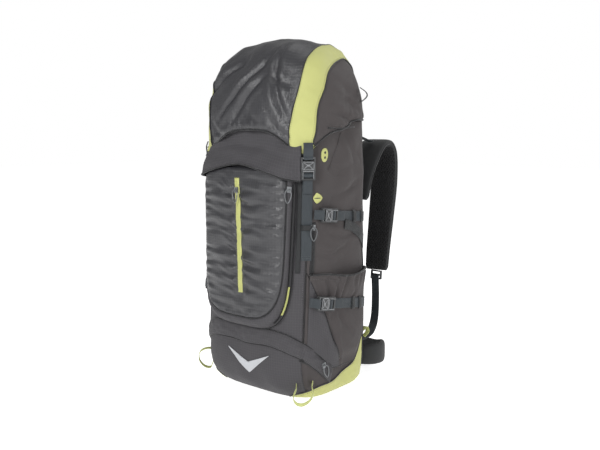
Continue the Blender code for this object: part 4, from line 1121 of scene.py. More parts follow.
def make_lid():
    share = np.linspace(-1, 1, LID_COLUMNS, endpoint=False)
    edge = np.full(LID_COLUMNS, HINGE_Z)
    for _ in range(4):
        s = share * lid_skin.half_girth(edge)
        base, _ = lid_skin.at(s, edge)
        edge = lid_edge(s, base[:, 1])
    v = np.concatenate([np.linspace(0, 0.12, 14)[:-1], np.linspace(0.12, 1, LID_ROWS)])[:, None]
    z = edge[None, :] + (CREST - edge[None, :]) * v**0.96
    s = share[None, :] * lid_skin.half_girth(z)
    calm = 1 - 0.8 * step(z, CREST - 0.012, CREST)
    point, normal = lid_skin.at(s, z)
    # Lean the outward direction upwards where the lid rounds over.
    over = step(z, CREST - 0.13, CREST)[..., None]
    normal = normal * (1 - 0.75 * over) + np.array([0, 0, 1.0]) * 0.75 * over
    normal = unit(normal)
    point = point + normal * (lid_relief(s, z, edge[None, :]) * calm)[..., None]
    count = point.shape[0]
    verts = point.reshape(-1, 3).tolist()
    uv = np.stack([s, z], -1).reshape(-1, 2).tolist()
    faces = grid_faces(count, LID_COLUMNS, closed=True)
    flat = point.reshape(-1, 3)
    index = [0 if abs(flat[f[0], 0]) < GLOSS_HALF and flat[f[0],
                                                           1] < SHIFT + GLOSS_BACK else 1 for f in faces]
    # Close the crown with shrinking rings that swell a little.
    ring = point[-1]
    previous = (count - 1) * LID_COLUMNS
    centre = ring.mean(0)
    for size in (0.93, 0.85, 0.75, 0.62, 0.48, 0.32, 0.16):
        start = len(verts)
        swell = 0.0065 * (1 - size**2)
        for p in ring:
            x, y = centre[0] + (p[0] - centre[0]) * size, centre[1] + (p[1] - centre[1]) * size
            bump = 0.0016 * float(ripple(65, np.array(x), np.array(y), 0.05)) * (1 - size) ** 0.5
            verts.append((x, y, centre[2] + (p[2] - centre[2]) * size**0.3 + swell + bump))
            uv.append((x, y))
        wide = LID_COLUMNS
        faces += ring_faces(previous, start, wide)
        index += [0] * wide
        previous = start
    faces.append(tuple(range(previous, previous + LID_COLUMNS)))
    index.append(0)
    made = make_mesh("lid_cloth", verts, faces, ("gloss", "side"), uv, index=index, body="lid",
                     slot="dark_fabric",
                     replaces=("lid",))
    recalc(made)
    solid = made.modifiers.new("thickness", "SOLIDIFY")
    solid.thickness = 0.002
    solid.offset = -1.0
    perimeter = 2 * lid_skin.half_girth(0.56)
    area_of(made) / perimeter
    return made, point[0], normal[0]


lid, lid_hem, hem_normal = make_lid()
lid_tree = tree_of(lid)
on_lid = Base(lid_skin, [lid_tree])
tube("lid_hem_piping", lid_hem + hem_normal * 0.0006, 0.0020, "piping", 8, closed=True, body="lid",
     slot="dark_fabric")


def over_lid(x, angle):
    """The lid's outer surface at a side position and an angle from front (0) over the top (pi/2)."""
    ray = Vector((0, -math.cos(angle), math.sin(angle)))
    centre = Vector((x, SHIFT, HINGE_Z - 0.035))
    hit = lid_tree.ray_cast(centre + ray * 0.6, -ray, 0.6)
    if hit[0] is None:
        return None, None
    return np.array(hit[0]), np.array(hit[1])


def lid_band(side, sign):
    """Lime band from the corner tip, over the lid's shoulder, to the back edge."""
    rows, columns = 150, 15
    turns = np.linspace(math.radians(-12), math.radians(163), rows)
    degrees = np.degrees(turns)
    left = hermite(degrees, (-12, 10, 35, 50, 62, 75, 90, 120, 163), (.106, .109, .113, .115, .1145, .109,
                                                                      .100, .094, .100))
    right = hermite(degrees, (-12, 10, 39, 61, 77, 97, 125, 163), (.142, .146, .1465, .1465, .140, .127, .119,
                                                                   .124))
    u = np.linspace(0, 1, columns)
    top, normal = np.zeros((rows, columns, 3)), np.zeros((rows, columns, 3))
    good = np.ones(rows, bool)
    for r in range(rows):
        for c in range(columns):
            p, n = over_lid(sign * (left[r] + (right[r] - left[r]) * u[c]), turns[r])
            if p is None:
                good[r] = False
                break
            top[r, c], normal[r, c] = p, n
    top, normal = top[good], normal[good]
    hang = unit(top[0] - top[1])
    depth = np.interp(u, (0, 0.72, 1), (0.002, 0.019, 0.007))
    tip = [top[0] + hang * (depth * share)[:, None] for share in (1.0, 0.75, 0.5, 0.25)]
    top = np.concatenate([np.array(tip), top])
    normal = np.concatenate([np.repeat(normal[:1], 4, axis=0), normal])
    for _ in range(3):
        normal[1:-1] = normal[:-2] + normal[1:-1] + normal[2:]
        normal = unit(normal)
    s, z = top[..., 0], top[..., 2]
    lift = 0.0014 + 0.0008 * np.sin(math.pi * u)[None, :] + 0.0003 * ripple(71, s, z + top[..., 1], 0.03)
    outer = top + normal * lift[..., None]
    inner = top - normal * 0.0008
    made = slab("lid_band_" + side, outer, inner, "lime", body="lid", slot="lime_fabric")
    area_of(made) / 2 / 0.036
    tube("lid_band_tip_" + side, outer[0] - normal[0] * 0.0004, 0.0013, "piping", 6, body="lid",
         slot="dark_fabric")
    for edge_name, column in (("inner", 0), ("outer", -1)):
        line = outer[:, column] - normal[:, column] * 0.0004
        tube(f"lid_band_{edge_name}_{side}", line[1:-1], 0.0013, "piping", 6, body="lid", slot="dark_fabric")
        inside = 1 if column == 0 else -2
        stitches(f"lid_band_stitch_{edge_name}_{side}", outer[1:-1, inside] + normal[1:-1, inside] * 0.0001,
                 normal[1:-1, inside], body="lid", slot="dark_fabric")


for side, sign in SIDES:
    lid_band(side, sign)


def lid_extras():
    """Side slits and seams on the lid, and the small loops at its back corners."""
    for side, sign in SIDES:
        seam_line("lid_slit_" + side, sided(sign, [(0.186, 0.5445), (0.22, 0.5435), (0.268, 0.5465)]), on_lid,
                  0.0006,
                  0.0014, body="lid")
        stitch_line("lid_slit_stitch_" + side,
                    sided(sign, [(0.184, 0.5500), (0.22, 0.5490), (0.270, 0.5520)]), on_lid,
                    body="lid")
    for side, sign in SIDES:
        root, normal = lid_skin.at(np.array([sign * 0.292]), np.array([HINGE_Z + 0.050]))
        spot, n = root[0], normal[0]
        t = np.linspace(0, 1, 18)
        out = 0.015 * np.sin(math.pi * t)
        path = spot + np.outer(out, n) + np.outer(0.030 * (0.5 - t), (0, 0, 1)) + n * 0.0012
        sweep("lid_loop_" + side, path, np.cross(n, (0, 0, 1)), 0.009, 0.0014, "black_webbing", body="lid",
              slot="webbing")


lid_extras()


# ---------------------------------------------------------------- hinge strip between bag and lid
def hinge_strip():
    u, v = unit_grid(60, 22)
    half = 0.108
    z = HINGE_Z - 0.014 + 0.030 * v + 0 * u
    x = half * u + 0 * v
    y = SHIFT + BACK + 0.0016 + 0.0012 * np.exp(-(((z - HINGE_Z) / 0.006) ** 2)) + 0 * u
    top = np.stack([x, y, z], -1)
    bottom = top - np.array([0, 0.0011, 0])
    made = slab("lid_hinge_cloth", top, bottom, "dark", body=None, slot="dark_fabric")
    area_of(made) / 4 / half
    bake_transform(made)


hinge_strip()


# ---------------------------------------------------------------- snow collar and its cord
COLLAR_RISE, COLLAR_SEAM = 0.070, 0.025
COLLAR_NARROWING = 0.1 * (2 * HALF) - 0.0004


def collar_point(share, rise, lift):
    """Collar surface: share round the bag (-1..1), rise 0..1 from the seam to the mouth."""
    z = RIM - COLLAR_SEAM + (COLLAR_RISE + COLLAR_SEAM) * rise
    narrow = COLLAR_NARROWING * rise**1.5
    level = np.minimum(z, RIM)
    s = share * bag_skin.half_girth(level)
    point, normal = bag_skin.at(s, level, lift - 0.0033 - narrow)
    point[..., 2] = z
    return point, normal


def make_collar():
    columns, rows = 420, 44
    share = np.linspace(-1, 1, columns, endpoint=False)[None, :]
    rise = np.linspace(0, 1, rows)[:, None]
    gather = np.sin(2 * math.pi * 34 * share + 2.5 * ripple(81, share, rise, 0.4))
    cinched = step(rise, 0.35, 0.9)
    lift = 0.0014 * gather * cinched * (1 - 0.5 * step(rise, 0.93, 1.0)) - 0.0006 + 0 * share
    lift = np.minimum(lift, 0.0008 * (1 - cinched) + 0.0014 * cinched)
    outer, _ = collar_point(share + 0 * rise, rise + 0 * share, lift)
    inner, _ = collar_point(share + 0 * rise, rise + 0 * share, lift - 0.0010)
    verts = np.concatenate([outer.reshape(-1, 3), inner.reshape(-1, 3)])
    layer = rows * columns
    faces = grid_faces(rows, columns, closed=True)
    faces += [tuple(layer + i for i in f[::-1]) for f in faces]
    for start in (0, (rows - 1) * columns):
        faces += ring_faces(start, layer + start, columns)
    z = outer[..., 2]
    uv = np.stack([share * 0.42 + 0 * rise, z], -1).reshape(-1, 2)
    made = make_mesh("snow_collar_cloth", verts, faces, "dark", np.concatenate([uv, uv]), slot="side_fabric",
                     replaces=("snow_collar",))
    recalc(made)
    area_of(made) / 2 / 0.84
    high = (COLLAR_RISE + COLLAR_SEAM - 0.008) / (COLLAR_RISE + COLLAR_SEAM)
    low, top = 0.75, 1.0
    share = np.linspace(-1, 1, 221, endpoint=False)[1:]
    below, _ = collar_point(share, np.full(share.shape, low), 0.0030)
    above, _ = collar_point(share, np.full(share.shape, top), 0.0030)
    mix = (high - low) / (top - low)
    route = below * (1 - mix) + above * mix
    route = route[(np.abs(route[:, 0]) > 0.014) | (route[:, 1] > SHIFT)]
    route = route[np.argsort(np.mod(np.arctan2(route[:, 0], -(route[:, 1] - SHIFT)), 2 * math.pi))]
    low_box, high_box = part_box("cord_lock_barrel")
    centre = (low_box + high_box) / 2
    tips = [np.array([side * (0.0072), centre.y, RIM + COLLAR_RISE - 0.008]) for side in (1, -1)]
    route = np.concatenate([[tips[0]], route, [tips[1]]])
    tube("collar_drawcord_braid", smooth_path(route, 260), 0.0015, "cord", 8, slot="webbing",
         replaces=("collar_drawcord",))


make_collar()


# ---------------------------------------------------------------- side pockets
WEBBING, WEBBING_THICK = 0.020, 0.0015
BUCKLE_THICK = 0.008
SIDE_FRONT, SIDE_BACK, SIDE_TOP = CORNER + 0.008, HALF + 0.170, 0.252
UPPER_BUCKLE, LOWER_BUCKLE = (CORNER + 0.048, RIM - 0.186), (CORNER + 0.040, 0.200)
STRAP_BACK = SIDE_BACK - 0.004
GUSSET_SEAM = [(0.140, 0.262), (0.160, 0.220), (0.184, 0.178), (0.206, 0.130), (0.232, 0.075)]


def side_lift(s, z):
    """How far the side pocket stands off the bag: most at the mouth, cinched at the strap."""
    across = (np.abs(s) - SIDE_FRONT - 0.05) / (SIDE_BACK - SIDE_FRONT - 0.05)
    inside = (across > 0) & (across < 1)
    strap_z = LOWER_BUCKLE[1] - 0.012
    mouth = np.maximum(0.0, (z - strap_z) / (SIDE_TOP - strap_z))
    base = np.sin(math.pi * np.clip((strap_z - z) / (strap_z - 0.050), 0, 1))
    share = 0.22 + 0.78 * mouth + 0.55 * base
    arch = np.sin(math.pi * np.clip(across, 0, 1)) ** 0.8
    return 0.0003 + np.where(inside, 0.014 * share * arch, 0.0)


def gusset_girth(z):
    """Girth of the seam between the side pocket's gusset and its face."""
    return np.interp(z, [p[1] for p in GUSSET_SEAM[::-1]], [p[0] for p in GUSSET_SEAM[::-1]])


def side_relief(s, z):
    a = np.abs(s)
    rise = 0.0009 * ripple(91, s, z, 0.060, 1.5) + 0.0002 * ripple(92, s, z, 0.024, 1.6)
    gather = np.sin(2 * math.pi * a / 0.019 + 1.5 * ripple(93, s, z, 0.08))
    rise += 0.0019 * gather * np.exp(-(SIDE_TOP - 0.008 - z) / 0.022) * step(a, 0.165,
                                                                             0.19) * (z < SIDE_TOP - 0.006)
    rise += crease(a, z, GUSSET_SEAM[1:], 0.0038, 0.0042)
    for path, depth, width in (([(0.190, 0.243), (0.193, 0.215), (0.192, 0.190)], 0.0050, 0.0055),
                               ([(0.215, 0.245), (0.214, 0.222), (0.208, 0.200)], 0.0034, 0.0050),
                               ([(0.236, 0.243), (0.232, 0.225), (0.228, 0.205)], 0.0028, 0.0045),
                               ([(0.195, 0.178), (0.205, 0.150), (0.212, 0.110)], 0.0034, 0.0055),
                               ([(0.215, 0.178), (0.235, 0.150), (0.262, 0.125)], 0.0028, 0.0060),
                               ([(0.265, 0.235), (0.270, 0.210), (0.262, 0.190)], 0.0022, 0.0050)):
        rise += crease(a, z, path, depth, width)
    rise += 0.0010 * np.exp(-(((a - gusset_girth(z) - 0.006) / 0.004) ** 2))
    return rise * step(a, SIDE_FRONT, SIDE_FRONT + 0.012) * (1 - step(a, SIDE_BACK - 0.012, SIDE_BACK))


def make_side_pocket(side, sign):
    columns, rows = 150, 130
    girth = np.linspace(SIDE_FRONT, SIDE_BACK, columns)
    edge = np.array(BASE_EDGE)
    low = np.maximum(along(FLAP_HIGH)(girth) - 0.003, hermite(girth, edge[:, 0], edge[:, 1]) + 0.001)
    low = soften(low, 4)
    v = np.linspace(0, 1, rows)[:, None]
    high = SIDE_TOP + 0.006 * (1 - step(girth, 0.15,
                                        0.24)) - 0.005 * np.sin(math.pi * step(girth, 0.18, SIDE_BACK))
    z = low + (high - low) * v
    s = girth + 0 * v
    lift = 0.0008 + 0.0022 + side_lift(s, z) * step(z, low + 0.004, low + 0.035) + side_relief(s, z)
    rise = np.maximum(lift, 0.0018)
    point, normal = bag_skin.at(sign * s, z)
    top, bottom = point + normal * rise[..., None], point + normal * (rise - 0.0014)[..., None]
    made = slab("side_pocket_cloth_" + side, top, bottom, ("side", "dark"), slot="side_fabric",
                replaces=("side_pocket_" + side,))
    dark = (s < gusset_girth(z)).ravel()
    index = [1 if all(dark[i % (rows * columns)] for i in p.vertices) else 0 for p in made.data.polygons]
    made.data.polygons.foreach_set("material_index", index)
    width = SIDE_BACK - SIDE_FRONT
    area_of(made) / 2 / width
    tube("side_pocket_hem_" + side, top[-1] + normal[-1] * 0.0002, 0.0019, "piping", 8, slot="dark_fabric")
    stitches("side_pocket_stitch_" + side, top[-9] + normal[-9] * 0.0001, normal[-9], slot="dark_fabric")
    tube("side_pocket_foot_" + side, top[0] - normal[0] * 0.0006, 0.0011, "piping", 6, slot="dark_fabric")
    return made


side_pockets = {side: make_side_pocket(side, sign) for side, sign in SIDES}
body_trees = [bag_tree, tree_of(front_panel)] + [tree_of(p) for p in side_pockets.values()]
on_side = Base(bag_skin, body_trees)

for side, sign in SIDES:
    seam_line("corner_seam_" + side, sided(sign, upright(CORNER + 0.001, 0.535, 0.30, 0.124)), on_front,
              0.0006)
    stitch_line("corner_stitch_" + side, sided(sign, upright(CORNER - 0.005, 0.288, 0.132)), on_front)
    seam_line("gusset_seam_" + side, sided(sign, GUSSET_SEAM), on_side, 0.0002, 0.0009)
    seam_line("side_seam_" + side, sided(sign, [(0.226, 0.535), (0.208, 0.50), (0.190, 0.462)]), on_side,
              0.0002,
              0.0008, "side")
    stitch_line("side_stitch_" + side, sided(sign, [(0.230, 0.534), (0.212, 0.50), (0.194, 0.462)]), on_side)
    seam_line("back_seam_" + side, sided(sign, upright(SIDE_BACK + 0.004, 0.545, 0.30, 0.02)), on_front,
              0.0010,
              0.0017)


# ---------------------------------------------------------------- badges, reflector and zips on the cloth
def badge(name, centre, outline, base, material, lift=0.0012, thick=0.0016, **keys):
    """Small sewn patch with a rounded face, from an outline in metres round a (girth, height) centre."""
    outline = np.asarray(outline, float)
    count = len(outline)
    spots, rises = [], []
    for share, rise in ((1.0, 0.0), (1.0, 0.75), (0.95, 1.0), (0.6, 1.0), (0.25, 1.0)):
        spots.append(np.array(centre) + outline * share)
        rises.append(np.full(count, rise))
    spots, rises = np.array(spots), np.array(rises)
    point, normal = bag_skin.at(spots[..., 0], spots[..., 1])
    point = point + normal * (base.stand(point, normal) + lift - thick + rises * thick)[..., None]
    faces = grid_faces(5, count, closed=True) + [tuple(range(4 * count, 5 * count))]
    made = make_mesh(name, point, faces, material, **keys)
    recalc(made)
    return made


def around(count, half_wide, half_tall, power=2.0):
    turn = np.linspace(0, 2 * math.pi, count, endpoint=False)
    c, s = np.cos(turn), np.sin(turn)
    return np.stack([half_wide * np.sign(c) * np.abs(c) ** (2 / power),
                     half_tall * np.sign(s) * np.abs(s) ** (2 / power)], 1)


for side, sign in SIDES:
    spot = (sign * 0.174, 0.492)
    badge("lash_oval_" + side, spot, around(28, 0.0085, 0.0135), on_side, "lime", 0.0020, slot="lime_fabric")
    for k, high in (("a", 0.0048), ("b", -0.0048)):
        badge(f"lash_hole_{k}_{side}", (spot[0], spot[1] + high), around(16, 0.0022, 0.0026), on_side,
              "eyelet", 0.0025,
              0.0008, slot="dark_fabric")
    leaf = around(36, 0.0125, 0.0105, 1.35)
    leaf[:, 0] = np.where(leaf[:, 0] * sign < 0, leaf[:, 0] * 0.6, leaf[:, 0])
    spot = (sign * 0.157, 0.409)
    badge("lash_leaf_" + side, spot, leaf, on_side, "lime", 0.0020, slot="lime_fabric")
    badge("lash_slit_" + side, (spot[0] + sign * 0.001, spot[1]), around(16, 0.0070, 0.0009), on_side,
          "eyelet", 0.0025,
          0.0008, slot="dark_fabric")

s, z = np.linspace(-1, 1, 60)[None, :], np.linspace(0, 1, 8)[:, None]
low, high = 0.043 + 0.046 * np.abs(s), 0.067 + 0.023 * np.abs(s)
girth, level = 0.009 + 0.056 * s + 0 * z, low + (high - low) * z
patch("reflector", on_front, girth, level, "reflect", 0.0012, 0.0009, slot="zip_metal")

for side, sign in SIDES:
    angle = np.linspace(0.30, -0.95, 60) if sign > 0 else np.linspace(math.pi - 0.30, math.pi + 0.95, 60)
    ring_s, ring_z = pocket_place(angle, 0.0016)
    middle, normal = bag_skin.at(ring_s, ring_z, pocket_stand(0.0016) + 0.0008 + 0.0035)
    outward = np.stack([sign * -normal[:, 1], sign * normal[:, 0], 0 * ring_s], 1)
    if side == "right":
        # The zip is lime only along its middle; its upper and end stretches have black tape and teeth:
        # painted shade where the lime zip lies in the strap's shadow.
        for part, first, last, tape, coil, slot in (("upper", 0, 24, "piping", "plastic", "dark_fabric"),
                                                    ("lower", 23, 46, "lime", "coil", "lime_fabric"),
                                                    ("end", 45, 60, "piping", "plastic", "dark_fabric")):
            run = slice(first, last)
            sweep("pocket_side_tape_" + part, middle[run] + outward[run] * 0.0012, normal[run], 0.008, 0.0014,
                  tape, slot=slot)
            sweep("pocket_side_coil_" + part, middle[run] + outward[run] * 0.0020, normal[run], 0.0030,
                  0.0018, coil,
                  slot=slot)

make_coil_zip("access_zip_tape", [(CORNER + 0.012, 0.362), (CORNER + 0.012, 0.258)], 0.0010, 0.010, on_side,
              "piping",
              "piping", "dark_fabric")
make_coil_zip("bottom_zip_tape", [(0.197, 0.036), (0.186, 0.052), (0.176, 0.062), (0.160, 0.076),
                                  (0.134, 0.090)], 0.0010,
              0.009, on_front, "piping", "piping", "dark_fabric")


# ---------------------------------------------------------------- buckles, straps and their ends
TAIL = 0.046  # how far a plug's webbing tail lies back along its strap
KEEPERS = (("a", 0.084), ("b", 0.112))  # distances of a strap's two keepers from its buckle


def at_bag(s, z, lift):
    """One point and its normal at a girth, height and lift on the bag's skin."""
    point, normal = bag_skin.at(np.array([float(s)]), np.array([float(z)]), np.array([float(lift)]))
    return point[0], normal[0]


def skin_frame(s, z, lift, slope=0.0, down=False):
    """Origin, along, across and normal of a buckle laid on the skin."""
    point, normal = at_bag(s, z, lift)
    side = 1.0 if s >= 0 else -1.0
    if down:
        run = np.array([0, 0, -1.0])
    else:
        run = np.cross((0, 0, 1.0), normal) * side * math.cos(slope) - np.array([0, 0, 1.0]) * math.sin(slope)
    return point, run, np.cross(normal, run), normal


def local(frame_axes, spots):
    origin, run, _, normal = frame_axes
    spots = np.asarray(spots, float)
    return origin + np.outer(spots[:, 0], run) + np.outer(spots[:, 1], normal)


def web(name, path, across, width, **keys):
    """Slate webbing swept along a path."""
    sweep(name, path, across, width, WEBBING_THICK, "webbing", power=6.0, slot="webbing", **keys)


def plug_wrap(name, frame_axes, width, body, lower):
    """Webbing through a plug's ladder, with its tail lying back along the strap."""
    spots = [(0.034, lower - 0.0006), (0.024, lower + 0.0004), (0.0175, -0.0032), (0.0145, -0.0006),
             (0.0118, 0.0030), (0.0086, 0.0030), (0.0060, 0.0004), (0.0050, -0.0030),
             (0.0100, lower + 0.0018),
             (0.024, lower + 0.0022), (TAIL, lower + 0.0021)]
    web(name, smooth_path(local(frame_axes, spots), 64), frame_axes[2], width, body=body)


def socket_tab(name, frame_axes, width, body, reach, lower):
    """Webbing round a socket's end bar, back to where it is sewn."""
    end = -(0.4 * WEBBING + 0.006 + 0.0105)
    sewn = -reach * 0.6 + 0.4 * end
    spots = [(-reach, lower), (sewn, lower + 0.0035), (end - 0.0012, 0.0036), (end + 0.0012, 0.0051),
             (end + 0.0038, 0.0046), (end + 0.0050, 0.0010), (end + 0.0045, -0.0030), (end + 0.0005, -0.0046),
             (sewn, lower + 0.0008)]
    web(name, smooth_path(local(frame_axes, spots), 56), frame_axes[2], width, body=body)


def bars(name, frame_axes, segments, high, body):
    """Raised mouldings on a buckle, high above its middle: (x0, y0, x1, y1, width) in its own frame."""
    origin, run, across, normal = frame_axes
    verts, faces = [], []
    for x0, y0, x1, y1, width in segments:
        along_bar = np.array([x1 - x0, y1 - y0])
        along_bar /= np.linalg.norm(along_bar)
        side_bar = np.array([-along_bar[1], along_bar[0]]) * width / 2
        start = len(verts)
        for level_high, share in ((high - 0.0006, 1.0), (high + 0.0006, 1.0), (high + 0.0010, 0.55)):
            for (x, y), off in (((x0, y0), -1), ((x1, y1), -1), ((x1, y1), 1), ((x0, y0), 1)):
                spot = np.array([x, y]) + side_bar * off * share
                verts.append(origin + run * spot[0] + across * spot[1] + normal * level_high)
        for ring in (0, 4):
            for k in range(4):
                n = (k + 1) % 4
                faces.append((start + ring + k, start + ring + n, start + ring + 4 + n, start + ring + 4 + k))
        faces += [tuple(start + 8 + k for k in range(4)), tuple(start + k for k in (3, 2, 1, 0))]
    # The mouldings are coloured grey: a painted highlight on the black buckle.
    made = make_mesh(name, verts, faces, ["rib"], body=body, slot="plastic", flat=True)
    recalc(made)
    return made


def buckle_detail(name, frame_axes, width, socket_body, plug_body):
    """Ribs, guides and the rims of the side windows of a side-release buckle."""
    deep, edge = 0.4 * width + 0.006, width / 2 + 0.002
    rail = [(-deep, sign * (edge - 0.0012), -0.0008, sign * (edge - 0.0012), 0.0014) for sign in (1, -1)]
    cross = [(-0.0012, sign * (edge - 0.003), -deep * 0.62, sign * 0.0022, 0.0015) for sign in (1, -1)]
    back = [(-deep, sign * (edge - 0.003), -deep * 0.70, sign * 0.0022, 0.0015) for sign in (1, -1)]
    lips = [(-0.0010, -edge + 0.001, -0.0010, edge - 0.001, 0.0014), (-deep * 0.66, -0.003, -deep * 0.66,
                                                                      0.003, 0.004),
            (-deep - 0.0015, -edge + 0.001, -deep - 0.0015, edge - 0.001, 0.0014),
            (-deep - 0.0090, -edge + 0.001, -deep - 0.0090, edge - 0.001, 0.0016)]
    bars(name + "_socket_ribs", frame_axes, rail + cross + back + lips, BUCKLE_THICK / 2, socket_body)
    ribs = [(0.0022, -edge + 0.001, 0.0022, edge - 0.001, 0.0018),
            (0.0040, -edge + 0.0016, 0.0170, -edge + 0.0016, 0.0014), (0.0040, edge - 0.0016, 0.0170,
                                                                       edge - 0.0016, 0.0014)]
    bars(name + "_plug_ribs", frame_axes, ribs, BUCKLE_THICK / 2 - 0.0006, plug_body)


def compression(level, buckle, drop, base):
    """The strap, buckle webbing and keepers of one level, on both sides."""
    slope = math.atan(drop / (STRAP_BACK - buckle[0]))
    stand = max(float(base(np.array(buckle[0] + d),
                           np.array(buckle[1] - d * math.tan(slope)))) for d in (0, 0.01, 0.03, 0.05))
    lift = stand + WEBBING_THICK + 0.0009 + BUCKLE_THICK / 2
    for side, sign in SIDES:
        frame_axes = skin_frame(sign * buckle[0], buckle[1], lift, slope)
        start = buckle[0] + 0.006
        path = [(sign * start, buckle[1] - math.tan(slope) * 0.006), (sign * STRAP_BACK, buckle[1] - drop),
                (sign * (STRAP_BACK + 0.014), buckle[1] - drop - 0.001)]
        on_side.ribbon(f"{level}_strap_{side}", path, WEBBING, WEBBING_THICK, "webbing", 0.0003,
                       replaces=(f"{level}_compression_strap_{side}",))
        plug_wrap(f"{level}_plug_web_{side}", frame_axes, WEBBING - 0.001, f"{level}_compression_plug_{side}",
                  -0.0064)
        buckle_detail(f"{level}_buckle_{side}", frame_axes, WEBBING, "bag",
                      f"{level}_compression_plug_{side}")
        reach = 0.040 if level == "upper" else 0.036
        socket_tab(f"{level}_tab_{side}", frame_axes, WEBBING - 0.001, "bag", reach, -(lift - 0.0022))
        for k, far in KEEPERS:
            high = buckle[1] - math.tan(slope) * far
            keeper = sided(sign, upright(buckle[0] + far, high + 0.0125, high, high - 0.0125))
            on_strap = Base(bag_skin, body_trees + [tree_of(bpy.data.objects[f"{level}_strap_{side}"])])
            on_strap.ribbon(f"{level}_keeper_{k}_{side}", keeper, 0.009, 0.0016, "black_webbing",
                            0.0022 if k == "a" else 0.0004, count=12)


compression("upper", UPPER_BUCKLE, 0.014, lambda s, z: 0.0003 + 0 * s)
compression("lower", LOWER_BUCKLE, 0.022, lambda s, z: side_lift(s, z) + 0.002 + 0.0004 + 0.0014)

LID_BUCKLE = HINGE_Z - 0.063 - 0.034
# A black webbing strip beside each corner strap: a painted shadow in the gap between the pocket and the
# strap.
for side, sign in SIDES:
    on_front.ribbon("corner_shadow_strip_" + side, sided(sign, [(0.1235, 0.440), (0.1235, 0.35), (0.1220, 0.262)]),
                    0.009,
                    0.0010, "black_webbing")
for side, sign in SIDES:
    on_front.ribbon("lid_strap_web_" + side, sided(sign, upright(CORNER, LID_BUCKLE - 0.006, 0.38, 0.287)),
                    WEBBING,
                    WEBBING_THICK, "webbing", 0.0003, replaces=("lid_strap_" + side,))
    frame_axes = skin_frame(sign * CORNER, LID_BUCKLE, 0.0052 + BUCKLE_THICK / 2, down=True)
    plug_wrap("lid_plug_web_" + side, frame_axes, WEBBING - 0.001, "lid_plug_" + side, -0.0050)
    buckle_detail("lid_buckle_" + side, frame_axes, WEBBING, "lid", "lid_plug_" + side)
    socket_tab("lid_tab_" + side, frame_axes, WEBBING - 0.001, "lid", 0.052, 0.0010)
    on_strap = Base(bag_skin, [bag_tree, tree_of(front_panel),
                               tree_of(bpy.data.objects["lid_strap_web_" + side])])
    keeper = sided(sign, [(CORNER - 0.0125, 0.352), (CORNER, 0.352), (CORNER + 0.0125, 0.352)])
    on_strap.ribbon("lid_strap_keeper_" + side, keeper, 0.010, 0.0016, "black_webbing", 0.0024, count=12)
    for k, high in enumerate((0.292, 0.296)):
        stitch_line(f"lid_strap_tack_{k}_{side}",
                    sided(sign, [(CORNER - 0.008, high), (CORNER + 0.008, high)]), on_strap)
    on_side.ribbon("branch_strap_" + side, sided(sign, [(0.236, 0.352), (0.262, 0.345), (0.290, 0.328),
                                                        (0.326, 0.300)]),
                   0.020, WEBBING_THICK, "black_webbing")


# ---------------------------------------------------------------- ice-axe loops
HANGING = [(0.012, -0.016), (0.030, -0.020), (0.046, -0.013), (0.052, 0.0), (0.046, 0.013), (0.030, 0.020),
           (0.012, 0.016)]
UPRIGHT = [(0.010, -0.014), (0.023, -0.008), (0.030, 0.004), (0.030, 0.018), (0.022, 0.030), (0.010, 0.033),
           (0.004, 0.024)]
for side, shape, roots, sink in (("right", HANGING, ((CORNER - 0.016, 0.036), (CORNER + 0.018, 0.040)),
                                  -0.62),
                                 ("left", UPRIGHT, ((-CORNER, 0.062), (-CORNER, 0.034)), 0.0)):
    (root_a, _), (root_b, _) = [at_bag(s, z, 0.0012) for s, z in roots]
    out = at_bag(*roots[0], 0)[1] + np.array([0, 0, sink])
    out /= np.linalg.norm(out)
    run = (root_b - root_a) / np.linalg.norm(root_b - root_a)
    middle = (root_a + root_b) / 2
    path = [root_a] + [middle + out * reach + run * off for reach, off in shape] + [root_b]
    sweep("ice_loop_" + side, smooth_path(path, 60), np.cross(out, run), 0.010, 0.0013, "lime_webbing",
          section=12,
          power=6.0, slot="lime_fabric", replaces=("ice_axe_loop_" + side,))


# ---------------------------------------------------------------- back panel, lumbar pad and harness
def pad(name, low, high, face, depth, columns, rows, material, crown, channels=(), power=6.0, edge=0.010,
        **keys):
    """Crowned pad standing off the pack's back: rounded outline, sewn channels and soft unevenness."""
    x0, z0, x1, z1 = *low, *high
    u, v = unit_grid(columns, rows, low=-1.0)
    # Squash the square grid into a rounded outline.
    squeeze = (1 - 0.5 * np.abs(v) ** power) ** (2 / power)
    squash = (1 - 0.5 * np.abs(u) ** power) ** (2 / power)
    x = (x0 + x1) / 2 + (x1 - x0) / 2 * u * squeeze
    z = (z0 + z1) / 2 + (z1 - z0) / 2 * v * squash
    near = np.minimum((1 - np.abs(u)) * (x1 - x0) / 2, (1 - np.abs(v)) * (z1 - z0) / 2)
    rounded = np.sqrt(np.clip(1 - (1 - np.clip(near / edge, 0, 1)) ** 2, 0, 1))
    bulge = np.sin(math.pi * (u + 1) / 2) ** 0.5 * np.sin(math.pi * (v + 1) / 2) ** 0.35
    rise = depth * (0.30 + 0.70 * rounded) - crown * (1 - bulge)
    for level, width, deep in channels:
        rise = rise - deep * np.exp(-(((z - level) / width) ** 2)) * rounded
    rise = rise + 0.0006 * ripple(101, x, z, 0.04) * rounded
    top = np.stack([x, face + rise, z], -1)
    back = np.stack([x, face + 0 * rise, z], -1)
    made = slab(name, top, back, material, **keys)
    return made


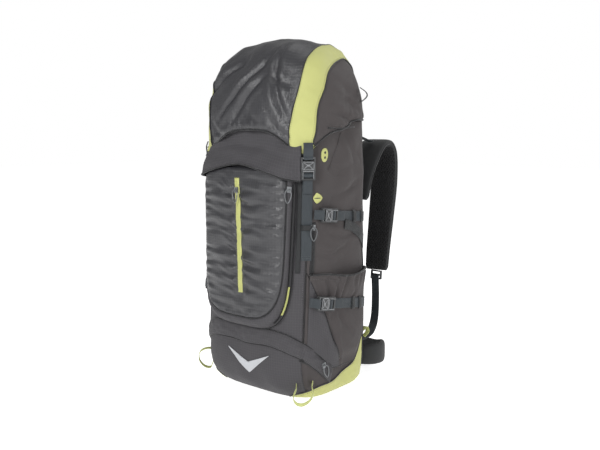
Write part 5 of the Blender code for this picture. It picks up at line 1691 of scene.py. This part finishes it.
PAD_BACK = PANEL_LOW.y
PAD_DEPTH = PANEL_FACE - PAD_BACK
PAD_HALF = PANEL_HIGH.x
pad("back_frame_cloth", (-PAD_HALF, PANEL_LOW.z), (PAD_HALF, PANEL_HIGH.z), PAD_BACK, PAD_DEPTH * 0.42, 80,
                 140, "pad", 0.001, slot="mesh_pad", replaces=("back_panel",))
levels = [PANEL_LOW.z + (PANEL_HIGH.z - PANEL_LOW.z) * k for k in (0.2, 0.4, 0.6, 0.8)]
for side, sign in SIDES:
    ends = sorted((sign * 0.022, sign * (PAD_HALF - 0.006)))
    pad("back_pad_" + side, (ends[0], PANEL_LOW.z + 0.012), (ends[1], PANEL_HIGH.z - 0.012),
        PAD_BACK + PAD_DEPTH * 0.3,
        PAD_DEPTH * 0.70, 70, 220, "mesh", 0.0015, [(level, 0.006, 0.0050) for level in levels],
        slot="mesh_pad")
LUMBAR_LOW, LUMBAR_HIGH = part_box("lumbar_pad")
pad("lumbar_cloth", (LUMBAR_LOW.x, LUMBAR_LOW.z), (LUMBAR_HIGH.x, LUMBAR_HIGH.z), LUMBAR_LOW.y,
    LUMBAR_HIGH.y - LUMBAR_LOW.y, 110, 60, "mesh", 0.003,
    [((LUMBAR_LOW.z + LUMBAR_HIGH.z) / 2, 0.004, 0.003)], edge=0.016,
    slot="mesh_pad", replaces=("lumbar_pad",))


def padded_strap(name, path, across, width, thick, body, inner, mesh_rows, replaces, section=28, power=3.6):
    """Padded harness strap: smooth cloth outside, mesh inside, with a bound edge."""
    path = np.asarray(path, float)
    made = sweep(name, path, across, width, thick, ("pad", "mesh"), section=section, power=power, body=body,
                 slot="mesh_pad", replaces=replaces)
    rows = len(path)
    index = []
    for polygon in made.data.polygons:
        if len(polygon.vertices) != 4:
            index.append(0)
            continue
        row = min(v // section for v in polygon.vertices)
        turn = np.mean([math.sin(2 * math.pi * (v % section + 0.5) / section) for v in polygon.vertices])
        index.append(1 if turn * inner > 0.55 and mesh_rows[0] <= row / rows <= mesh_rows[1] else 0)
    made.data.polygons.foreach_set("material_index", index)
    return made


def edge_binding(name, path, across, width, body, radius=0.0018):
    """Bound edges down both sides of a strap."""
    path = np.asarray(path, float)
    _, across = square_to(across, path)
    for k, side in (("a", 1), ("b", -1)):
        line = path + across * side * (np.broadcast_to(width, len(path))[:, None] / 2 - 0.0006)
        tube(f"{name}_{k}", line, radius, "piping", 6, body=body, slot="mesh_pad")


HARNESS = (PAD_HALF * 2 - 0.050) / 2
FACE = PANEL_FACE + 0.0003  # the harness lies on the panel's face with a hair's gap
TOP = PANEL_HIGH.z
for side, sign in SIDES:
    route = [(-0.004, 0.0098, -0.110), (-0.002, 0.022, -0.062), (0.0, 0.044, -0.022), (0.001, 0.068, 0.006),
             (0.002, 0.093, 0.012), (0.003, 0.11067, -0.012), (0.004, 0.11167, -0.080),
             (0.006, 0.099, -0.160),
             (0.008, 0.086, -0.230), (0.010, 0.078, -0.278)]
    points = np.array([(sign * (HARNESS + x), FACE + y, TOP + z) for x, y, z in route])
    path = smooth_path(points, 110)
    t = np.linspace(0, 1, 110)
    width = 0.070 * (1 - 0.35 * np.maximum(0, t - 0.55))
    ends = np.minimum(1, np.sqrt(np.clip(np.minimum(t, 1 - t) / 0.02, 0.02, 1)))
    padded_strap("shoulder_pad_" + side, path, (1, 0, 0), width * (0.86 + 0.14 * ends),
                 0.014 * (0.5 + 0.5 * ends), "bag",
                 1, (0.36, 0.985), ("shoulder_strap_" + side,))
    edge_binding("shoulder_binding_" + side, path[2:-2], (1, 0, 0), width[2:-2] * (0.86 + 0.14 * ends[2:-2]),
                 "bag")
    end = points[-1]
    start = end + np.array([0, -0.0062, -0.010])
    corner = np.array([sign * (HARNESS + 0.028), SHIFT + BACK + 0.0015, PANEL_LOW.z + 0.006])
    fall = start[2] - corner[2]
    down = [start, start + (sign * 0.004, -0.003, -0.385 * fall), start + (sign * 0.012, -0.018,
                                                                           -0.738 * fall),
            start + (sign * 0.024, -0.052, -0.923 * fall), corner + (sign * 0.004, 0.020, 0.002), corner]
    web("shoulder_web_" + side, smooth_path(down, 70), (1, 0, 0), WEBBING,
        replaces=("shoulder_webbing_" + side,))
    high = np.array([sign * HARNESS, SHIFT + BACK + 0.0013, RIM - 0.022])
    low = np.array([sign * HARNESS, FACE + 0.062, points[3][2] + 0.0085])
    middle = (high + low) / 2 + (0, 0, -0.001)
    web("load_lifter_web_" + side, smooth_path([high, middle, low], 30), (1, 0, 0), WEBBING * 0.8,
        replaces=("load_lifter_" + side,))

loop_y, base_z = SHIFT + BACK + 0.009, TOP + 0.006
loop = [(-0.034, 0, 0), (-0.034, 0.002, 0.012), (-0.030, 0.014, 0.030), (-0.012, 0.022, 0.040),
        (0.012, 0.022, 0.040),
        (0.030, 0.014, 0.030), (0.034, 0.002, 0.012), (0.034, 0, 0)]
web("haul_loop_web", smooth_path([(x, loop_y + y, base_z + z) for x, y, z in loop], 70), (0, 0.9, -0.45),
    0.016,
    replaces=("haul_loop",))

chest_y, chest_z = FACE + 0.110, TOP - 0.075
inner = HARNESS + 0.004 - 0.035 - 0.001
for side, near, far in (("right", 0.0225, inner), ("left", -0.006, -inner)):
    chest = [(x, chest_y, chest_z) for x in (near, (near + far) / 2, far)]
    web("sternum_strap_" + side, smooth_path(chest, 24), (0, 0, 1), WEBBING,
        replaces=("sternum_web_" + side,))

hip_x, hip_y, hip_z = LUMBAR_HIGH.x + 0.004, SHIFT + BACK + 0.0003 + 0.024, 0.040
for side, sign in SIDES:
    tail = 0.0285 if sign > 0 else 0.0060
    plan = [(0.0, 0.0), (0.024, 0.008), (0.040, 0.027), (0.041, 0.052), (0.024, 0.073),
            (-0.087 * hip_x, 0.084),
            (-0.435 * hip_x, 0.086), (tail - hip_x, 0.086)]
    path = smooth_path([(sign * (hip_x + x), hip_y + y, hip_z) for x, y in plan], 120)
    t = np.linspace(0, 1, 120)
    wide = hermite(t, [0, 0.06, 0.50, 0.66, 1], [0.040, 0.044, 0.044, 0.030, 0.030])
    thick = hermite(t, [0, 0.05, 0.48, 0.64, 1], [0.010, 0.012, 0.012, 0.0017, 0.0015])
    padded_strap("hip_pad_" + side, path, (0, 0, 1), wide, thick, "hip_wing_" + side, 1 if sign < 0 else -1,
                 (0.03, 0.56),
                 ("hip_wing_" + side,))
    edge_binding("hip_binding_" + side, path[3:64], (0, 0, 1), wide[3:64], "hip_wing_" + side, 0.0014)

tab = smooth_path([at_bag(0.330, 0.112, 0.001)[0], at_bag(0.334, 0.118, 0.010)[0],
                   at_bag(0.334, 0.108, 0.013)[0],
                   at_bag(0.332, 0.098, 0.004)[0]], 24)
sweep("side_tab", tab, (1, 0, 0), 0.010, 0.0014, "lime_webbing", power=6.0, slot="lime_fabric")


# ---------------------------------------------------------------- moulded and metal parts
for name, obj in frame["nodes"].items():
    if obj.hide_render or any(word in name for word in ("strap", "webbing")):
        continue
    if any(word in name for word in ("socket", "plug", "ladder", "barrel", "button")):
        finish = "plastic"
    elif any(word in name for word in ("slider", "puller")):
        finish = "metal"
    elif name.startswith("stay"):
        finish = "alloy"
    else:
        continue
    for slot_ in obj.material_slots:
        slot_.material = MATERIALS[finish]
    if "puller" in name:
        continue
    bevelled(obj, "softened_edges", 0.0006, 3, 40)

make_stage()
